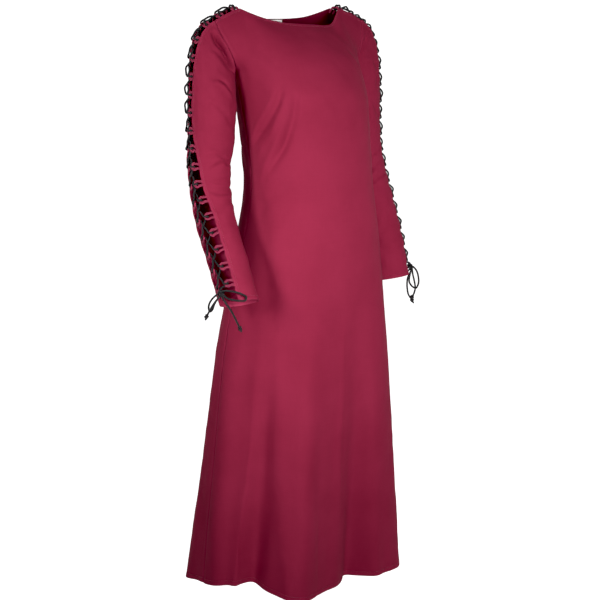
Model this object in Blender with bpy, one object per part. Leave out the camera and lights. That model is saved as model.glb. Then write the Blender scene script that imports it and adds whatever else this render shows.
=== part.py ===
"""Historic underdress with laced sleeves, in its worn, hollow form.

Metres, +Z up, -Y is the front, +X is the left side as worn. The origin is the middle of the
neck opening at shoulder height, where the dress is held up.
Cloth is a wall of even thickness laid through rings (body) and sections (sleeves).
"""

import bmesh
import bpy
import numpy as np

# ---------------------------------------------------------------- driving sizes
WALL = 0.0015            # cotton canvas with its turned hems
SEAM = 0.0004            # clear space between two pieces at a seam
HEM_Z = -1.440           # hem at the sides and back
HEM_RISE = (150.0, 46.0, 0.046)  # the hem lifts here: where, half width (degrees), how much
UNDERARM_Z = -0.150
NECK_HALF = 0.141        # neck corner, from the centre
# The neckline: x, y, z from the right corner to the left one. It hangs a little lower at the front left.
NECK_COLUMNS = ("x", "y", "z")
NECK_FRONT = (
    (-0.141, -0.018, -0.0060), (-0.120, -0.035, -0.0175), (-0.092, -0.047, -0.0285),
    (-0.050, -0.057, -0.0385), (0.000, -0.062, -0.0432), (0.045, -0.061, -0.0452),
    (0.080, -0.056, -0.0465), (0.102, -0.048, -0.0425), (0.122, -0.035, -0.0245),
    (0.141, -0.018, -0.0060),
)
NECK_BACK = (
    (-0.141, 0.018, -0.0060), (-0.113, 0.033, -0.0177), (-0.080, 0.042, -0.0268),
    (-0.050, 0.048, -0.0300), (0.000, 0.051, -0.0310), (0.050, 0.048, -0.0300),
    (0.080, 0.042, -0.0268), (0.113, 0.033, -0.0177), (0.141, 0.018, -0.0060),
)
SHOULDER_HALF = 0.210    # top of the armhole, from the centre
SHOULDER_DROP = (-0.006, -0.034)  # z at the neck corner and at the armhole top
SHOULDER_GAP = 0.018     # half of the open slit on the shoulder
COLUMNS = 24             # strips of cloth across a panel
CHEST_ROWS = 7           # rows of cloth above the underarm
CAP_ROWS = 6             # rows of cloth in the sleeve head

LACE = 0.0040            # lace diameter
RUNGS = 18               # pairs of loops on each sleeve
LACED_TO = {-1.0: 0.0435, 1.0: 0.0335}  # last pair of loops to the cuff
LOOP_CORD = 0.0024       # thickness of the sewn cloth loops
LOOP_HALF = 0.0048       # half width of a loop
LOOP_OUT = 0.0180        # how far a loop reaches from the cloth edge where the slit is wide
LOOP_LEAN = 26.0         # degrees that a loop leans out of the slit
LOOP_CLEAR = 0.0026      # loop base to the cloth edge
LACE_CLEAR = 0.0030      # middle of the slit to the nearest lace at a loop
LIFT = {-1.0: (0.0105, 0.0150), 1.0: (0.0125, 0.0195)}  # how far out of each slit the laces cross, on the upper and the lower arm
LIFT_GAP = 0.0036        # half the distance between them there

LABEL = (0.040, 0.022, 0.0008)  # blank neck label: width, height, thickness

# Rings of the body: height, half width, y of the front, back and side seam, squareness, and
# how far the ring stands to the left of the middle.
BODY_COLUMNS = ("z", "half", "front", "back", "side", "square", "sway")
BODY = (
    (-0.150, 0.165, -0.169, 0.069, -0.026, 2.20, 0.006),
    (-0.200, 0.165, -0.195, 0.073, -0.037, 2.20, 0.010),
    (-0.300, 0.161, -0.196, 0.073, -0.047, 2.25, 0.020),
    (-0.440, 0.162, -0.195, 0.072, -0.052, 2.30, 0.030),
    (-0.560, 0.181, -0.198, 0.080, -0.048, 2.35, 0.030),
    (-0.660, 0.198, -0.198, 0.084, -0.048, 2.35, 0.026),
    (-0.780, 0.217, -0.199, 0.085, -0.045, 2.45, 0.020),
    (-0.900, 0.230, -0.204, 0.089, -0.045, 2.55, 0.014),
    (-1.100, 0.246, -0.213, 0.101, -0.047, 2.70, 0.006),
    (-1.300, 0.262, -0.218, 0.118, -0.046, 2.85, 0.000),
    (-1.440, 0.272, -0.215, 0.136, -0.042, 2.95, 0.000),
)
BODY_ROWS_Z = (-0.150, -0.190, -0.235, -0.290, -0.350, -0.420, -0.500, -0.590,
               -0.690, -0.800, -0.920, -1.050, -1.180, -1.310, -1.440)

# Flutes of the skirt: where (degrees, 0 = left side, 90 = front), half width, how far the
# hem stands out (+) or in (-) there, and the height at which the flute dies out.
FLUTE_COLUMNS = ("at", "half", "reach", "top")
FLUTES = (
    (20.0, 14.0, 0.006, -0.80),
    (52.0, 14.0, -0.020, -0.80),
    (76.0, 13.0, -0.078, -0.62),
    (106.0, 12.0, 0.050, -0.58),
    (134.0, 12.0, -0.056, -0.70),
    (160.0, 10.0, -0.012, -0.75),
    (203.0, 12.0, 0.012, -0.70),
    (226.0, 12.0, -0.032, -0.80),
    (249.0, 13.0, 0.034, -0.64),
    (272.0, 12.0, -0.040, -0.70),
    (297.0, 13.0, 0.036, -0.62),
    (322.0, 12.0, -0.030, -0.78),
    (342.0, 11.0, 0.010, -0.80),
)

# Sleeve sections below the sleeve head, from the upper arm to the cuff: centre, radius, the
# turn of the slit from straight outwards (degrees, + towards the back) and half its width.
SLEEVE_COLUMNS = ("x", "y", "z", "radius", "turn", "slit_half")
SLEEVE_RIGHT = (
    (0.2205, -0.022, -0.235, 0.0560, 18.0, 0.0175),
    (0.2245, -0.023, -0.300, 0.0550, 12.0, 0.0190),
    (0.2325, -0.0245, -0.365, 0.0518, -2.0, 0.0240),
    (0.2377, -0.0390, -0.435, 0.0480, -8.0, 0.0268),
    (0.2405, -0.0690, -0.505, 0.0468, -17.0, 0.0312),
    (0.2402, -0.1082, -0.570, 0.0463, -18.0, 0.0308),
    (0.2402, -0.1412, -0.627, 0.0458, -19.0, 0.0304),
    (0.2396, -0.1675, -0.676, 0.0450, -20.0, 0.0300),
)
SLEEVE_LEFT = (
    (0.2325, 0.016, -0.235, 0.0505, -14.0, 0.0165),
    (0.2355, 0.019, -0.300, 0.0505, -14.0, 0.0170),
    (0.2410, 0.017, -0.365, 0.0500, -13.0, 0.0185),
    (0.2480, 0.001, -0.435, 0.0500, -11.0, 0.0215),
    (0.2580, -0.018, -0.505, 0.0500, -9.0, 0.0245),
    (0.2665, -0.038, -0.570, 0.0485, -8.0, 0.0260),
    (0.2735, -0.052, -0.629, 0.0475, -8.0, 0.0265),
    (0.2785, -0.060, -0.681, 0.0470, -8.0, 0.0265),
)
SLEEVE_ROWS = 14         # rows of cloth below the sleeve head
CUFF_DROP = {-1.0: (0.20, 0.15), 1.0: (0.140, 0.0)}  # how far the cuff hangs past the last section, all round and more at the front, in radii

# Bows at the wrist. Each row is a point of a route in the slit's own directions at the knot,
# in metres: across (+ to the front edge), out, and down the arm.
BOW_COLUMNS = ("across", "out", "down")
BOW_RIGHT = {
    "loop_1": ((0.006, 0.006, 0.000), (0.019, 0.009, 0.002), (0.034, -0.004, 0.010),
               (0.044, -0.018, 0.020), (0.0475, -0.027, 0.029), (0.044, -0.024, 0.036),
               (0.033, -0.012, 0.032), (0.018, 0.000, 0.022), (0.006, 0.003, 0.0070)),
    "loop_2": ((-0.006, 0.006, 0.001), (-0.016, 0.013, 0.006), (-0.030, 0.015, 0.014),
               (-0.040, 0.012, 0.023), (-0.0425, 0.008, 0.031), (-0.036, 0.006, 0.029),
               (-0.024, 0.007, 0.0195), (-0.012, 0.005, 0.011), (-0.0045, 0.004, 0.0065)),
    "end_1": ((0.0025, 0.005, 0.0075), (0.010, 0.008, 0.024), (0.016, 0.006, 0.042),
              (0.019, 0.002, 0.060), (0.022, 0.001, 0.078), (0.026, 0.002, 0.092)),
    "end_2": ((-0.0015, 0.007, 0.0078), (-0.010, 0.015, 0.017), (-0.022, 0.0185, 0.025),
              (-0.034, 0.018, 0.032), (-0.040, 0.0175, 0.0350), (-0.0455, 0.0165, 0.0375)),
}
BOW_LEFT = {
    "loop_1": ((0.0045, 0.007, 0.002), (0.008, 0.014, 0.014), (0.0085, 0.0165, 0.033),
               (0.008, 0.014, 0.048), (0.0025, 0.0085, 0.0585), (-0.004, 0.001, 0.053),
               (-0.006, -0.0042, 0.040), (-0.004, -0.001, 0.023), (-0.0005, 0.0035, 0.0078)),
    "loop_2": ((-0.006, 0.006, 0.001), (-0.016, 0.008, 0.004), (-0.030, -0.004, 0.008),
               (-0.040, -0.020, 0.014), (-0.0425, -0.027, 0.021), (-0.037, -0.021, 0.0255),
               (-0.026, -0.008, 0.020), (-0.014, 0.001, 0.012), (-0.005, 0.0030, 0.0068)),
    "end_1": ((0.0045, 0.003, 0.0065), (0.007, -0.005, 0.015), (0.007, -0.0148, 0.0289),
              (0.008, -0.0200, 0.0500), (0.009, -0.020, 0.0700), (0.0085, -0.014, 0.0815)),
    "end_2": ((-0.0045, 0.0084, 0.0052), (-0.010, 0.0112, 0.0231), (-0.0115, 0.014, 0.044),
              (-0.011, 0.0134, 0.0602), (-0.009, 0.0070, 0.0720), (-0.0073, 0.002, 0.0770)),
}
KNOT = (0.0074, 0.0058, 0.0070)   # half sizes of a bow's knot: across, out, down
KNOT_OUT = 0.0030                 # knot centre above the last crossing of the lace
TIP = 0.0040                      # radius of the knot in a lace's end


# ---------------------------------------------------------------- small helpers
def unit(v):
    v = np.asarray(v, float)
    return v / np.linalg.norm(v, axis=-1, keepdims=True)


def smooth(x):
    x = np.clip(x, 0.0, 1.0)
    return x * x * (3.0 - 2.0 * x)


def through(rows, at):
    """A smooth curve through a table's rows: column 0 is where, the rest is what."""
    rows = np.asarray(rows, float)
    if rows[0, 0] > rows[-1, 0]:
        rows = rows[::-1]
    x, y = rows[:, 0], rows[:, 1:]
    step = np.diff(x)[:, None]
    rise = np.diff(y, axis=0) / step
    slope = np.empty_like(y)
    slope[0], slope[-1] = rise[0], rise[-1]
    slope[1:-1] = (rise[:-1] * step[1:] + rise[1:] * step[:-1]) / (step[1:] + step[:-1])
    at = np.clip(at, x[0], x[-1])
    i = int(np.clip(np.searchsorted(x, at) - 1, 0, len(x) - 2))
    h = x[i + 1] - x[i]
    t = (at - x[i]) / h
    return ((1 + 2 * t) * (1 - t) ** 2 * y[i] + t * (1 - t) ** 2 * h * slope[i]
            + t * t * (3 - 2 * t) * y[i + 1] + t * t * (t - 1) * h * slope[i + 1])


def bezier(p0, p1, p2, p3, t):
    t = np.asarray(t, float)[..., None]
    return ((1 - t) ** 3 * p0 + 3 * (1 - t) ** 2 * t * p1
            + 3 * (1 - t) * t * t * p2 + t ** 3 * p3)


# ---------------------------------------------------------------- body surface
def flute(angle, z):
    """How far the skirt stands out at this place of the ring."""
    total = 0.0
    for at, half, reach, top in FLUTES:
        away = (angle - at + 180.0) % 360.0 - 180.0
        down = np.clip((top - z) / (top - HEM_Z), 0.0, 1.0)
        total += reach * np.exp(-(away / half) ** 2 * 1.4) * down ** 1.35
    # the side seams hang nearly straight
    seam = min(abs((angle + 90.0) % 180.0 - 90.0) / 12.0, 1.0)
    return total * smooth(seam)


def body_point(angle, z):
    """A point of the body ring: angle 0 = left seam, 90 = front, 180 = right seam."""
    half, front, back, side, square, sway = through(BODY, z)
    a = np.radians(angle % 360.0)
    c, s = np.cos(a), np.sin(a)
    power = 2.0 / square
    x = half * np.sign(c) * abs(c) ** power
    reach = (side - front) if s >= 0 else (back - side)
    y = side - reach * np.sign(s) * abs(s) ** power
    out = unit((c / half, -s / max(reach, 0.05)))
    f = flute(angle % 360.0, z)
    away = (angle - HEM_RISE[0] + 180.0) % 360.0 - 180.0
    rise = HEM_RISE[2] * np.exp(-(away / HEM_RISE[1]) ** 2) * ((UNDERARM_Z - z) / (UNDERARM_Z - HEM_Z)) ** 3
    return np.array((x + sway + out[0] * f, y + out[1] * f, z + rise))


def top_edge(u, front):
    """The top of a panel: neckline in the middle, shoulder slit edge outside it."""
    corner_u = 0.75
    side = np.sign(u) if u else 1.0
    way = -1.0 if front else 1.0
    if abs(u) <= corner_u:
        x = NECK_HALF * (abs(u) / corner_u) ** 0.95
        y, z = through(NECK_FRONT if front else NECK_BACK, side * x)
    else:
        k = (abs(u) - corner_u) / (1.0 - corner_u)
        x = NECK_HALF + (SHOULDER_HALF - NECK_HALF) * k
        y = way * SHOULDER_GAP
        z = SHOULDER_DROP[0] + (SHOULDER_DROP[1] - SHOULDER_DROP[0]) * (0.6 * k + 0.4 * k * k)
    return np.array((side * x, y, z))


def chest_point(u, v, front):
    """Above the underarm: v = 0 on the underarm ring, 1 on the top edge."""
    angle = 90.0 * (1.0 - u) if front else 270.0 - 90.0 * (1.0 - u) * 1.0
    if not front:
        angle = 270.0 + 90.0 * u
    low = body_point(angle, UNDERARM_Z)
    high = top_edge(u, front)
    side = abs(u) ** 5
    sx = np.sign(u) if u else 1.0
    below = body_point(angle, UNDERARM_Z - 0.02)
    start = unit(low - below)
    if front:
        lift = start * 0.052
        leave = (1 - side) * lift + side * np.array((sx * 0.014, -0.030, 0.026))
        shoulder = smooth((abs(u) - 0.45) / 0.35)
        arrive = ((1 - shoulder) * np.array((0.0, 0.048, 0.036))
                  + shoulder * np.array((sx * 0.006, 0.034, 0.030)))
        arrive = (1 - side) * arrive + side * np.array((sx * 0.010, 0.024, 0.044))
    else:
        lift = start * 0.050
        leave = (1 - side) * lift + side * np.array((sx * 0.010, 0.048, 0.020))
        shoulder = smooth((abs(u) - 0.45) / 0.35)
        arrive = ((1 - shoulder) * np.array((0.0, -0.012, 0.040))
                  + shoulder * np.array((sx * 0.004, -0.034, 0.030)))
        arrive = (1 - side) * arrive + side * np.array((sx * 0.012, -0.030, 0.044))
    return bezier(low, low + leave, high - arrive, high, v)


def panel_grid(front):
    """Rows from the hem up, columns from the right side (-X) to the left."""
    us = np.linspace(-1.0, 1.0, COLUMNS + 1)
    rows = []
    for z in BODY_ROWS_Z[:0:-1]:
        rows.append([body_point(90.0 * (1.0 - u) if front else 270.0 + 90.0 * u, z) for u in us])
    for v in np.linspace(0.0, 1.0, CHEST_ROWS + 1):
        rows.append([chest_point(u, v, front) for u in us])
    return np.array(rows)


# ---------------------------------------------------------------- sleeve surface
def armhole(side, t):
    """The armhole from the front slit edge (0) under the arm (0.5) to the back slit edge (1)."""
    if t <= 0.5:
        return chest_point(side, 1.0 - 2.0 * t, True)
    return chest_point(side, 2.0 * t - 1.0, False)


def arm_station(side, w):
    """Centre, axis and outward slit direction of a sleeve section, w = 0 upper arm to 1 cuff."""
    table = SLEEVE_RIGHT if side < 0 else SLEEVE_LEFT
    rows = [(i / (len(table) - 1.0),) + row for i, row in enumerate(table)]
    here = through(rows, w)
    ahead, behind = through(rows, min(w + 0.02, 1.0)), through(rows, max(w - 0.02, 0.0))
    mirror = np.array((side, 1.0, 1.0))
    centre = here[:3] * mirror
    axis = unit((ahead[:3] - behind[:3]) * mirror)
    turn = np.radians(here[4])
    out = np.array((side * np.cos(turn), np.sin(turn), 0.0))
    out = unit(out - axis * np.dot(out, axis))
    return centre, axis, out, here[3], here[5]


def arm_point(side, w, t):
    centre, axis, out, radius, gap = arm_station(side, w)
    forward = np.cross(axis, out) * (-1.0 if side < 0 else 1.0)
    start = np.arcsin(gap / radius)
    a = start + (2.0 * np.pi - 2.0 * start) * t
    drop = (CUFF_DROP[side][0] + CUFF_DROP[side][1] * np.sin(a)) * max((w - 0.7) / 0.3, 0.0) ** 1.5
    return centre + radius * (np.cos(a) * out + np.sin(a) * forward + drop * axis)


def cap_point(side, v, t):
    """The sleeve head, from the armhole (v = 0) to the first upper-arm section (v = 1)."""
    a = armhole(side, t)
    b = arm_point(side, 0.0, t)
    _, axis, _, _, _ = arm_station(side, 0.0)
    span = np.linalg.norm(b - a)
    top = abs(2.0 * t - 1.0) ** 1.5
    leave = unit(top * np.array((side * 1.0, 0.0, -0.42)) + (1 - top) * np.array((side * 0.35, 0.0, -1.0)))
    return bezier(a, a + leave * span * (0.24 + 0.04 * top), b - axis * span * (0.30 + 0.20 * top), b, v)


def sleeve_point(side, q, t):
    """q = 0 armhole, 1 = end of the sleeve head, 2 = cuff."""
    return cap_point(side, q, t) if q <= 1.0 else arm_point(side, q - 1.0, t)


def sleeve_grid(side):
    ts = np.linspace(0.0, 1.0, 2 * CHEST_ROWS + 1)
    qs = list(np.linspace(0.0, 1.0, CAP_ROWS + 1)) + list(1.0 + np.linspace(0.0, 1.0, SLEEVE_ROWS + 1)[1:])
    return np.array([[sleeve_point(side, q, t) for t in ts] for q in qs])


# ---------------------------------------------------------------- walls
def grid_normals(grid):
    along = np.gradient(grid, axis=0)
    across = np.gradient(grid, axis=1)
    return unit(np.cross(across, along))


def wall_mesh(name, grid, normals, colour):
    """A closed wall, half its thickness to either side of the grid."""
    rows, cols = grid.shape[:2]
    outer = grid + normals * WALL / 2.0
    inner = grid - normals * WALL / 2.0
    bm = bmesh.new()
    a = [[bm.verts.new(outer[i, j]) for j in range(cols)] for i in range(rows)]
    b = [[bm.verts.new(inner[i, j]) for j in range(cols)] for i in range(rows)]
    for i in range(rows - 1):
        for j in range(cols - 1):
            bm.faces.new((a[i][j], a[i][j + 1], a[i + 1][j + 1], a[i + 1][j]))
            bm.faces.new((b[i][j], b[i + 1][j], b[i + 1][j + 1], b[i][j + 1]))
    for i in range(rows - 1):
        bm.faces.new((a[i][0], a[i + 1][0], b[i + 1][0], b[i][0]))
        bm.faces.new((a[i][-1], b[i][-1], b[i + 1][-1], a[i + 1][-1]))
    for j in range(cols - 1):
        bm.faces.new((a[0][j], b[0][j], b[0][j + 1], a[0][j + 1]))
        bm.faces.new((a[-1][j], a[-1][j + 1], b[-1][j + 1], b[-1][j]))
    bm.normal_update()
    bmesh.ops.recalc_face_normals(bm, faces=bm.faces)
    return finish_mesh(name, bm, colour)


def finish_mesh(name, bm, colour):
    mesh = bpy.data.meshes.new(name)
    bm.to_mesh(mesh)
    bm.free()
    mesh.shade_smooth()
    mesh.set_sharp_from_angle(angle=np.radians(50.0))
    obj = bpy.data.objects.new(name, mesh)
    bpy.context.scene.collection.objects.link(obj)
    obj.data.materials.append(material(name, colour))
    return obj


def material(name, colour):
    mat = bpy.data.materials.new(name + "_finish")
    mat.use_nodes = True
    shader = mat.node_tree.nodes["Principled BSDF"]
    shader.inputs["Base Color"].default_value = (*colour[:3], 1.0)
    shader.inputs["Roughness"].default_value = colour[3]
    shader.inputs["Metallic"].default_value = 0.0
    return mat


CLOTH = (0.300, 0.022, 0.060, 0.85)
LACE_BLACK = (0.018, 0.016, 0.018, 0.60)
WHITE = (0.85, 0.85, 0.83, 0.70)


# ---------------------------------------------------------------- lacing
def slit_edge(side, front, p):
    """The cloth edge of the slit: p = 0 neck corner, 1 armhole, 2 end of head, 3 cuff."""
    if p <= 1.0:
        u = side * (0.75 + 0.25 * p)
        return top_edge(u, front)
    return sleeve_point(side, p - 1.0, 0.0 if front else 1.0)


class Slit:
    """Directions and distances along one sleeve's slit."""

    def __init__(self, side):
        self.side = side
        self.p = np.linspace(0.0, 3.0, 301)
        self.front = np.array([slit_edge(side, True, p) for p in self.p])
        self.back = np.array([slit_edge(side, False, p) for p in self.p])
        mid = (self.front + self.back) / 2.0
        self.s = np.concatenate([[0.0], np.cumsum(np.linalg.norm(np.diff(mid, axis=0), axis=1))])
        self.length = self.s[-1]

    def at(self, s):
        """Middle, axis (towards the cuff), out, to-the-front and half width, s metres from the neck."""
        def take(rows, d):
            return np.array([np.interp(d, self.s, rows[:, k]) for k in range(3)])
        f, b = take(self.front, s), take(self.back, s)
        lo, hi = max(s - 0.010, 0.0), min(s + 0.010, self.length)
        mid = (f + b) / 2.0
        axis = unit((take(self.front, hi) + take(self.back, hi)
                     - take(self.front, lo) - take(self.back, lo)) / 2.0)
        across = f - b
        across = unit(across - axis * np.dot(across, axis))
        out = np.cross(axis, across) * (-1.0 if self.side > 0 else 1.0)
        half = np.dot(f - b, across) / 2.0
        return mid, axis, out, across, half

    def point(self, s, across, out):
        """A point this far across (+ front) from the middle and this far out of the slit."""
        mid, _, n, a, _ = self.at(s)
        return mid + a * across + n * out


def rung_places(slit):
    first, last = 0.010, slit.length - LACED_TO[slit.side]
    return np.linspace(first, last, RUNGS)


def loop_reach(slit, s):
    """How far a loop reaches, s metres down: as far as the laces through both loops allow."""
    half = slit.at(s)[4]
    lean = np.radians(LOOP_LEAN)
    room = (half - LOOP_CLEAR - LACE_CLEAR - 0.0053 * np.sin(lean)) / np.cos(lean) - 0.0015
    return min(room, LOOP_OUT)


def lift_at(slit, s):
    """How far out of the slit the lace crosses, s metres down."""
    low, high = LIFT[slit.side]
    return low + (high - low) * smooth((s / slit.length - 0.55) / 0.25)


def loop_chain(name, slit, front):
    """One sewn strip of cloth cord that runs along the slit's edge and stands out in a loop at each rung."""
    way = 1.0 if front else -1.0
    lean = np.radians(LOOP_LEAN)
    path, planes = [], []

    def add(s, reach, s0=None):
        s_here = min(max(s, 0.0), slit.length)
        _, _, _, _, half = slit.at(s_here)
        across = half - LOOP_CLEAR - reach * np.cos(lean)
        path.append(slit.point(s_here, way * across, reach * np.sin(lean)))
        _, axis, n, a, _ = slit.at(s_here)
        planes.append(unit(n * np.cos(lean) + a * way * np.sin(lean)))

    places = rung_places(slit)
    add(places[0] - 0.009, 0.0)
    for s in places:
        out = loop_reach(slit, s)
        add(s - LOOP_HALF - 0.0022, 0.0)
        add(s - LOOP_HALF, 0.40 * out)
        add(s - LOOP_HALF * 0.88, out)
        add(s + LOOP_HALF * 0.88, out)
        add(s + LOOP_HALF, 0.40 * out)
        add(s + LOOP_HALF + 0.0022, 0.0)
    add(places[-1] + 0.012, 0.0)
    path, planes = np.array(path), np.array(planes)
    r = LOOP_CORD / 2.0
    bm = bmesh.new()
    rings = []
    for i, (p, m) in enumerate(zip(path, planes)):
        d0 = unit(p - path[i - 1]) if i else unit(path[1] - p)
        d1 = unit(path[i + 1] - p) if i + 1 < len(path) else d0
        t = unit(d0 + d1)
        m = unit(m - t * np.dot(m, t))
        sideways = np.cross(t, m) / max(np.sqrt((1 + np.dot(d0, d1)) / 2.0), 0.5)
        rings.append([bm.verts.new(p + r * (x * m + y * sideways))
                      for x, y in ((1, -1), (1, 1), (-1, 1), (-1, -1))])
    for one, two in zip(rings, rings[1:]):
        for k in range(4):
            bm.faces.new((one[k], one[(k + 1) % 4], two[(k + 1) % 4], two[k]))
    bm.faces.new(rings[0][::-1])
    bm.faces.new(rings[-1])
    bm.normal_update()
    bmesh.ops.recalc_face_normals(bm, faces=bm.faces)
    return finish_mesh(name, bm, CLOTH)


def lace_route(slit, first_front):
    """One half of the lace, from the bar at the neck through every second loop to the knot."""
    places = rung_places(slit)
    pitch = places[1] - places[0]
    over = 1.0 if first_front else -1.0
    pts = []

    lean = np.radians(LOOP_LEAN)

    def local(s, way, reach, off, loop):
        """At a loop: reach along its lean from the edge, off out of its plane."""
        half = slit.at(s)[4]
        reach = loop_reach(slit, loop) + reach
        across = half - LOOP_CLEAR - reach * np.cos(lean) + off * np.sin(lean)
        return slit.point(s, way * across, reach * np.sin(lean) + off * np.cos(lean))

    way = 1.0 if first_front else -1.0
    # half of the straight bar between the first two loops
    first = places[0]
    pts.append(slit.point(first, way * 0.00025, 0.0101))
    pts.append(local(first, way, 0.0015, 0.0058, first))
    pts.append(local(first, way, -0.0064, 0.0, first))
    for k, s in enumerate(places[:-1]):
        level = over * (1.0 if k % 2 == 0 else -1.0)
        pts.append(local(s + 0.0010, way, 0.0015, -0.0053, s))
        pts.append(slit.point(s + pitch * 0.5, 0.0, lift_at(slit, s + pitch * 0.5) + level * LIFT_GAP))
        way = -way
        nxt = places[k + 1]
        pts.append(local(nxt - 0.0010, way, 0.0015, 0.0058, nxt))
        pts.append(local(nxt, way, -0.0064, 0.0, nxt))
    pts.append(local(places[-1] + 0.0010, way, 0.0015, -0.0053, places[-1]))
    return pts, way


def bow_frame(slit):
    places = rung_places(slit)
    s = places[-1] + 0.0165
    _, axis, out, across, _ = slit.at(min(s, slit.length))
    centre = slit.point(min(s, slit.length), 0.0, lift_at(slit, s) + KNOT_OUT)
    return centre, axis, out, across


def tube(name, points, diameter, colour):
    curve = bpy.data.curves.new(name, "CURVE")
    curve.dimensions = "3D"
    curve.bevel_depth = diameter / 2.0
    curve.bevel_resolution = 2
    curve.use_fill_caps = True
    spline = curve.splines.new("POLY")
    spline.points.add(len(points) - 1)
    for p, co in zip(spline.points, points):
        p.co = (*co, 1.0)
    obj = bpy.data.objects.new(name, curve)
    bpy.context.scene.collection.objects.link(obj)
    obj.data.materials.append(material(name, colour))
    return obj


def curve_through(points, count):
    """Points at even distances on a smooth curve through a route's points."""
    pts = np.asarray(points, float)
    chord = np.concatenate([[0.0], np.cumsum(np.sqrt(np.linalg.norm(np.diff(pts, axis=0), axis=1)))])
    rows = np.column_stack([chord, pts])
    fine = np.array([through(rows, t) for t in np.linspace(0.0, chord[-1], 12 * len(pts))])
    run = np.concatenate([[0.0], np.cumsum(np.linalg.norm(np.diff(fine, axis=0), axis=1))])
    at = np.linspace(0.0, run[-1], count)
    return np.column_stack([np.interp(at, run, fine[:, k]) for k in range(3)])


def ball(name, centre, sizes, axes, colour, cuts=2):
    bm = bmesh.new()
    bmesh.ops.create_icosphere(bm, subdivisions=cuts, radius=1.0)
    for v in bm.verts:
        v.co = centre + sum(axes[k] * sizes[k] * v.co[k] for k in range(3))
    bm.normal_update()
    bmesh.ops.recalc_face_normals(bm, faces=bm.faces)
    return finish_mesh(name, bm, colour)


# ---------------------------------------------------------------- the dress
def shared_normals(front, back, left, right, grids):
    """Where two pieces meet, both use one direction for their thickness, so their edges lie face to face."""
    low = len(BODY_ROWS_Z) - 1
    for col, side in ((0, -1.0), (-1, 1.0)):
        for i in range(low):
            n = unit(front[i, col] + back[i, col])
            front[i, col] = back[i, col] = n
        sleeve = right if side < 0 else left
        count = CHEST_ROWS
        for k in range(count + 1):
            i = low + k
            n = unit(front[i, col] + sleeve[0, count - k])
            front[i, col] = sleeve[0, count - k] = n
            n = unit(back[i, col] + sleeve[0, count + k])
            back[i, col] = sleeve[0, count + k] = n
        n = unit(front[low, col] + back[low, col])
        front[low, col] = back[low, col] = sleeve[0, count] = n


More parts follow.
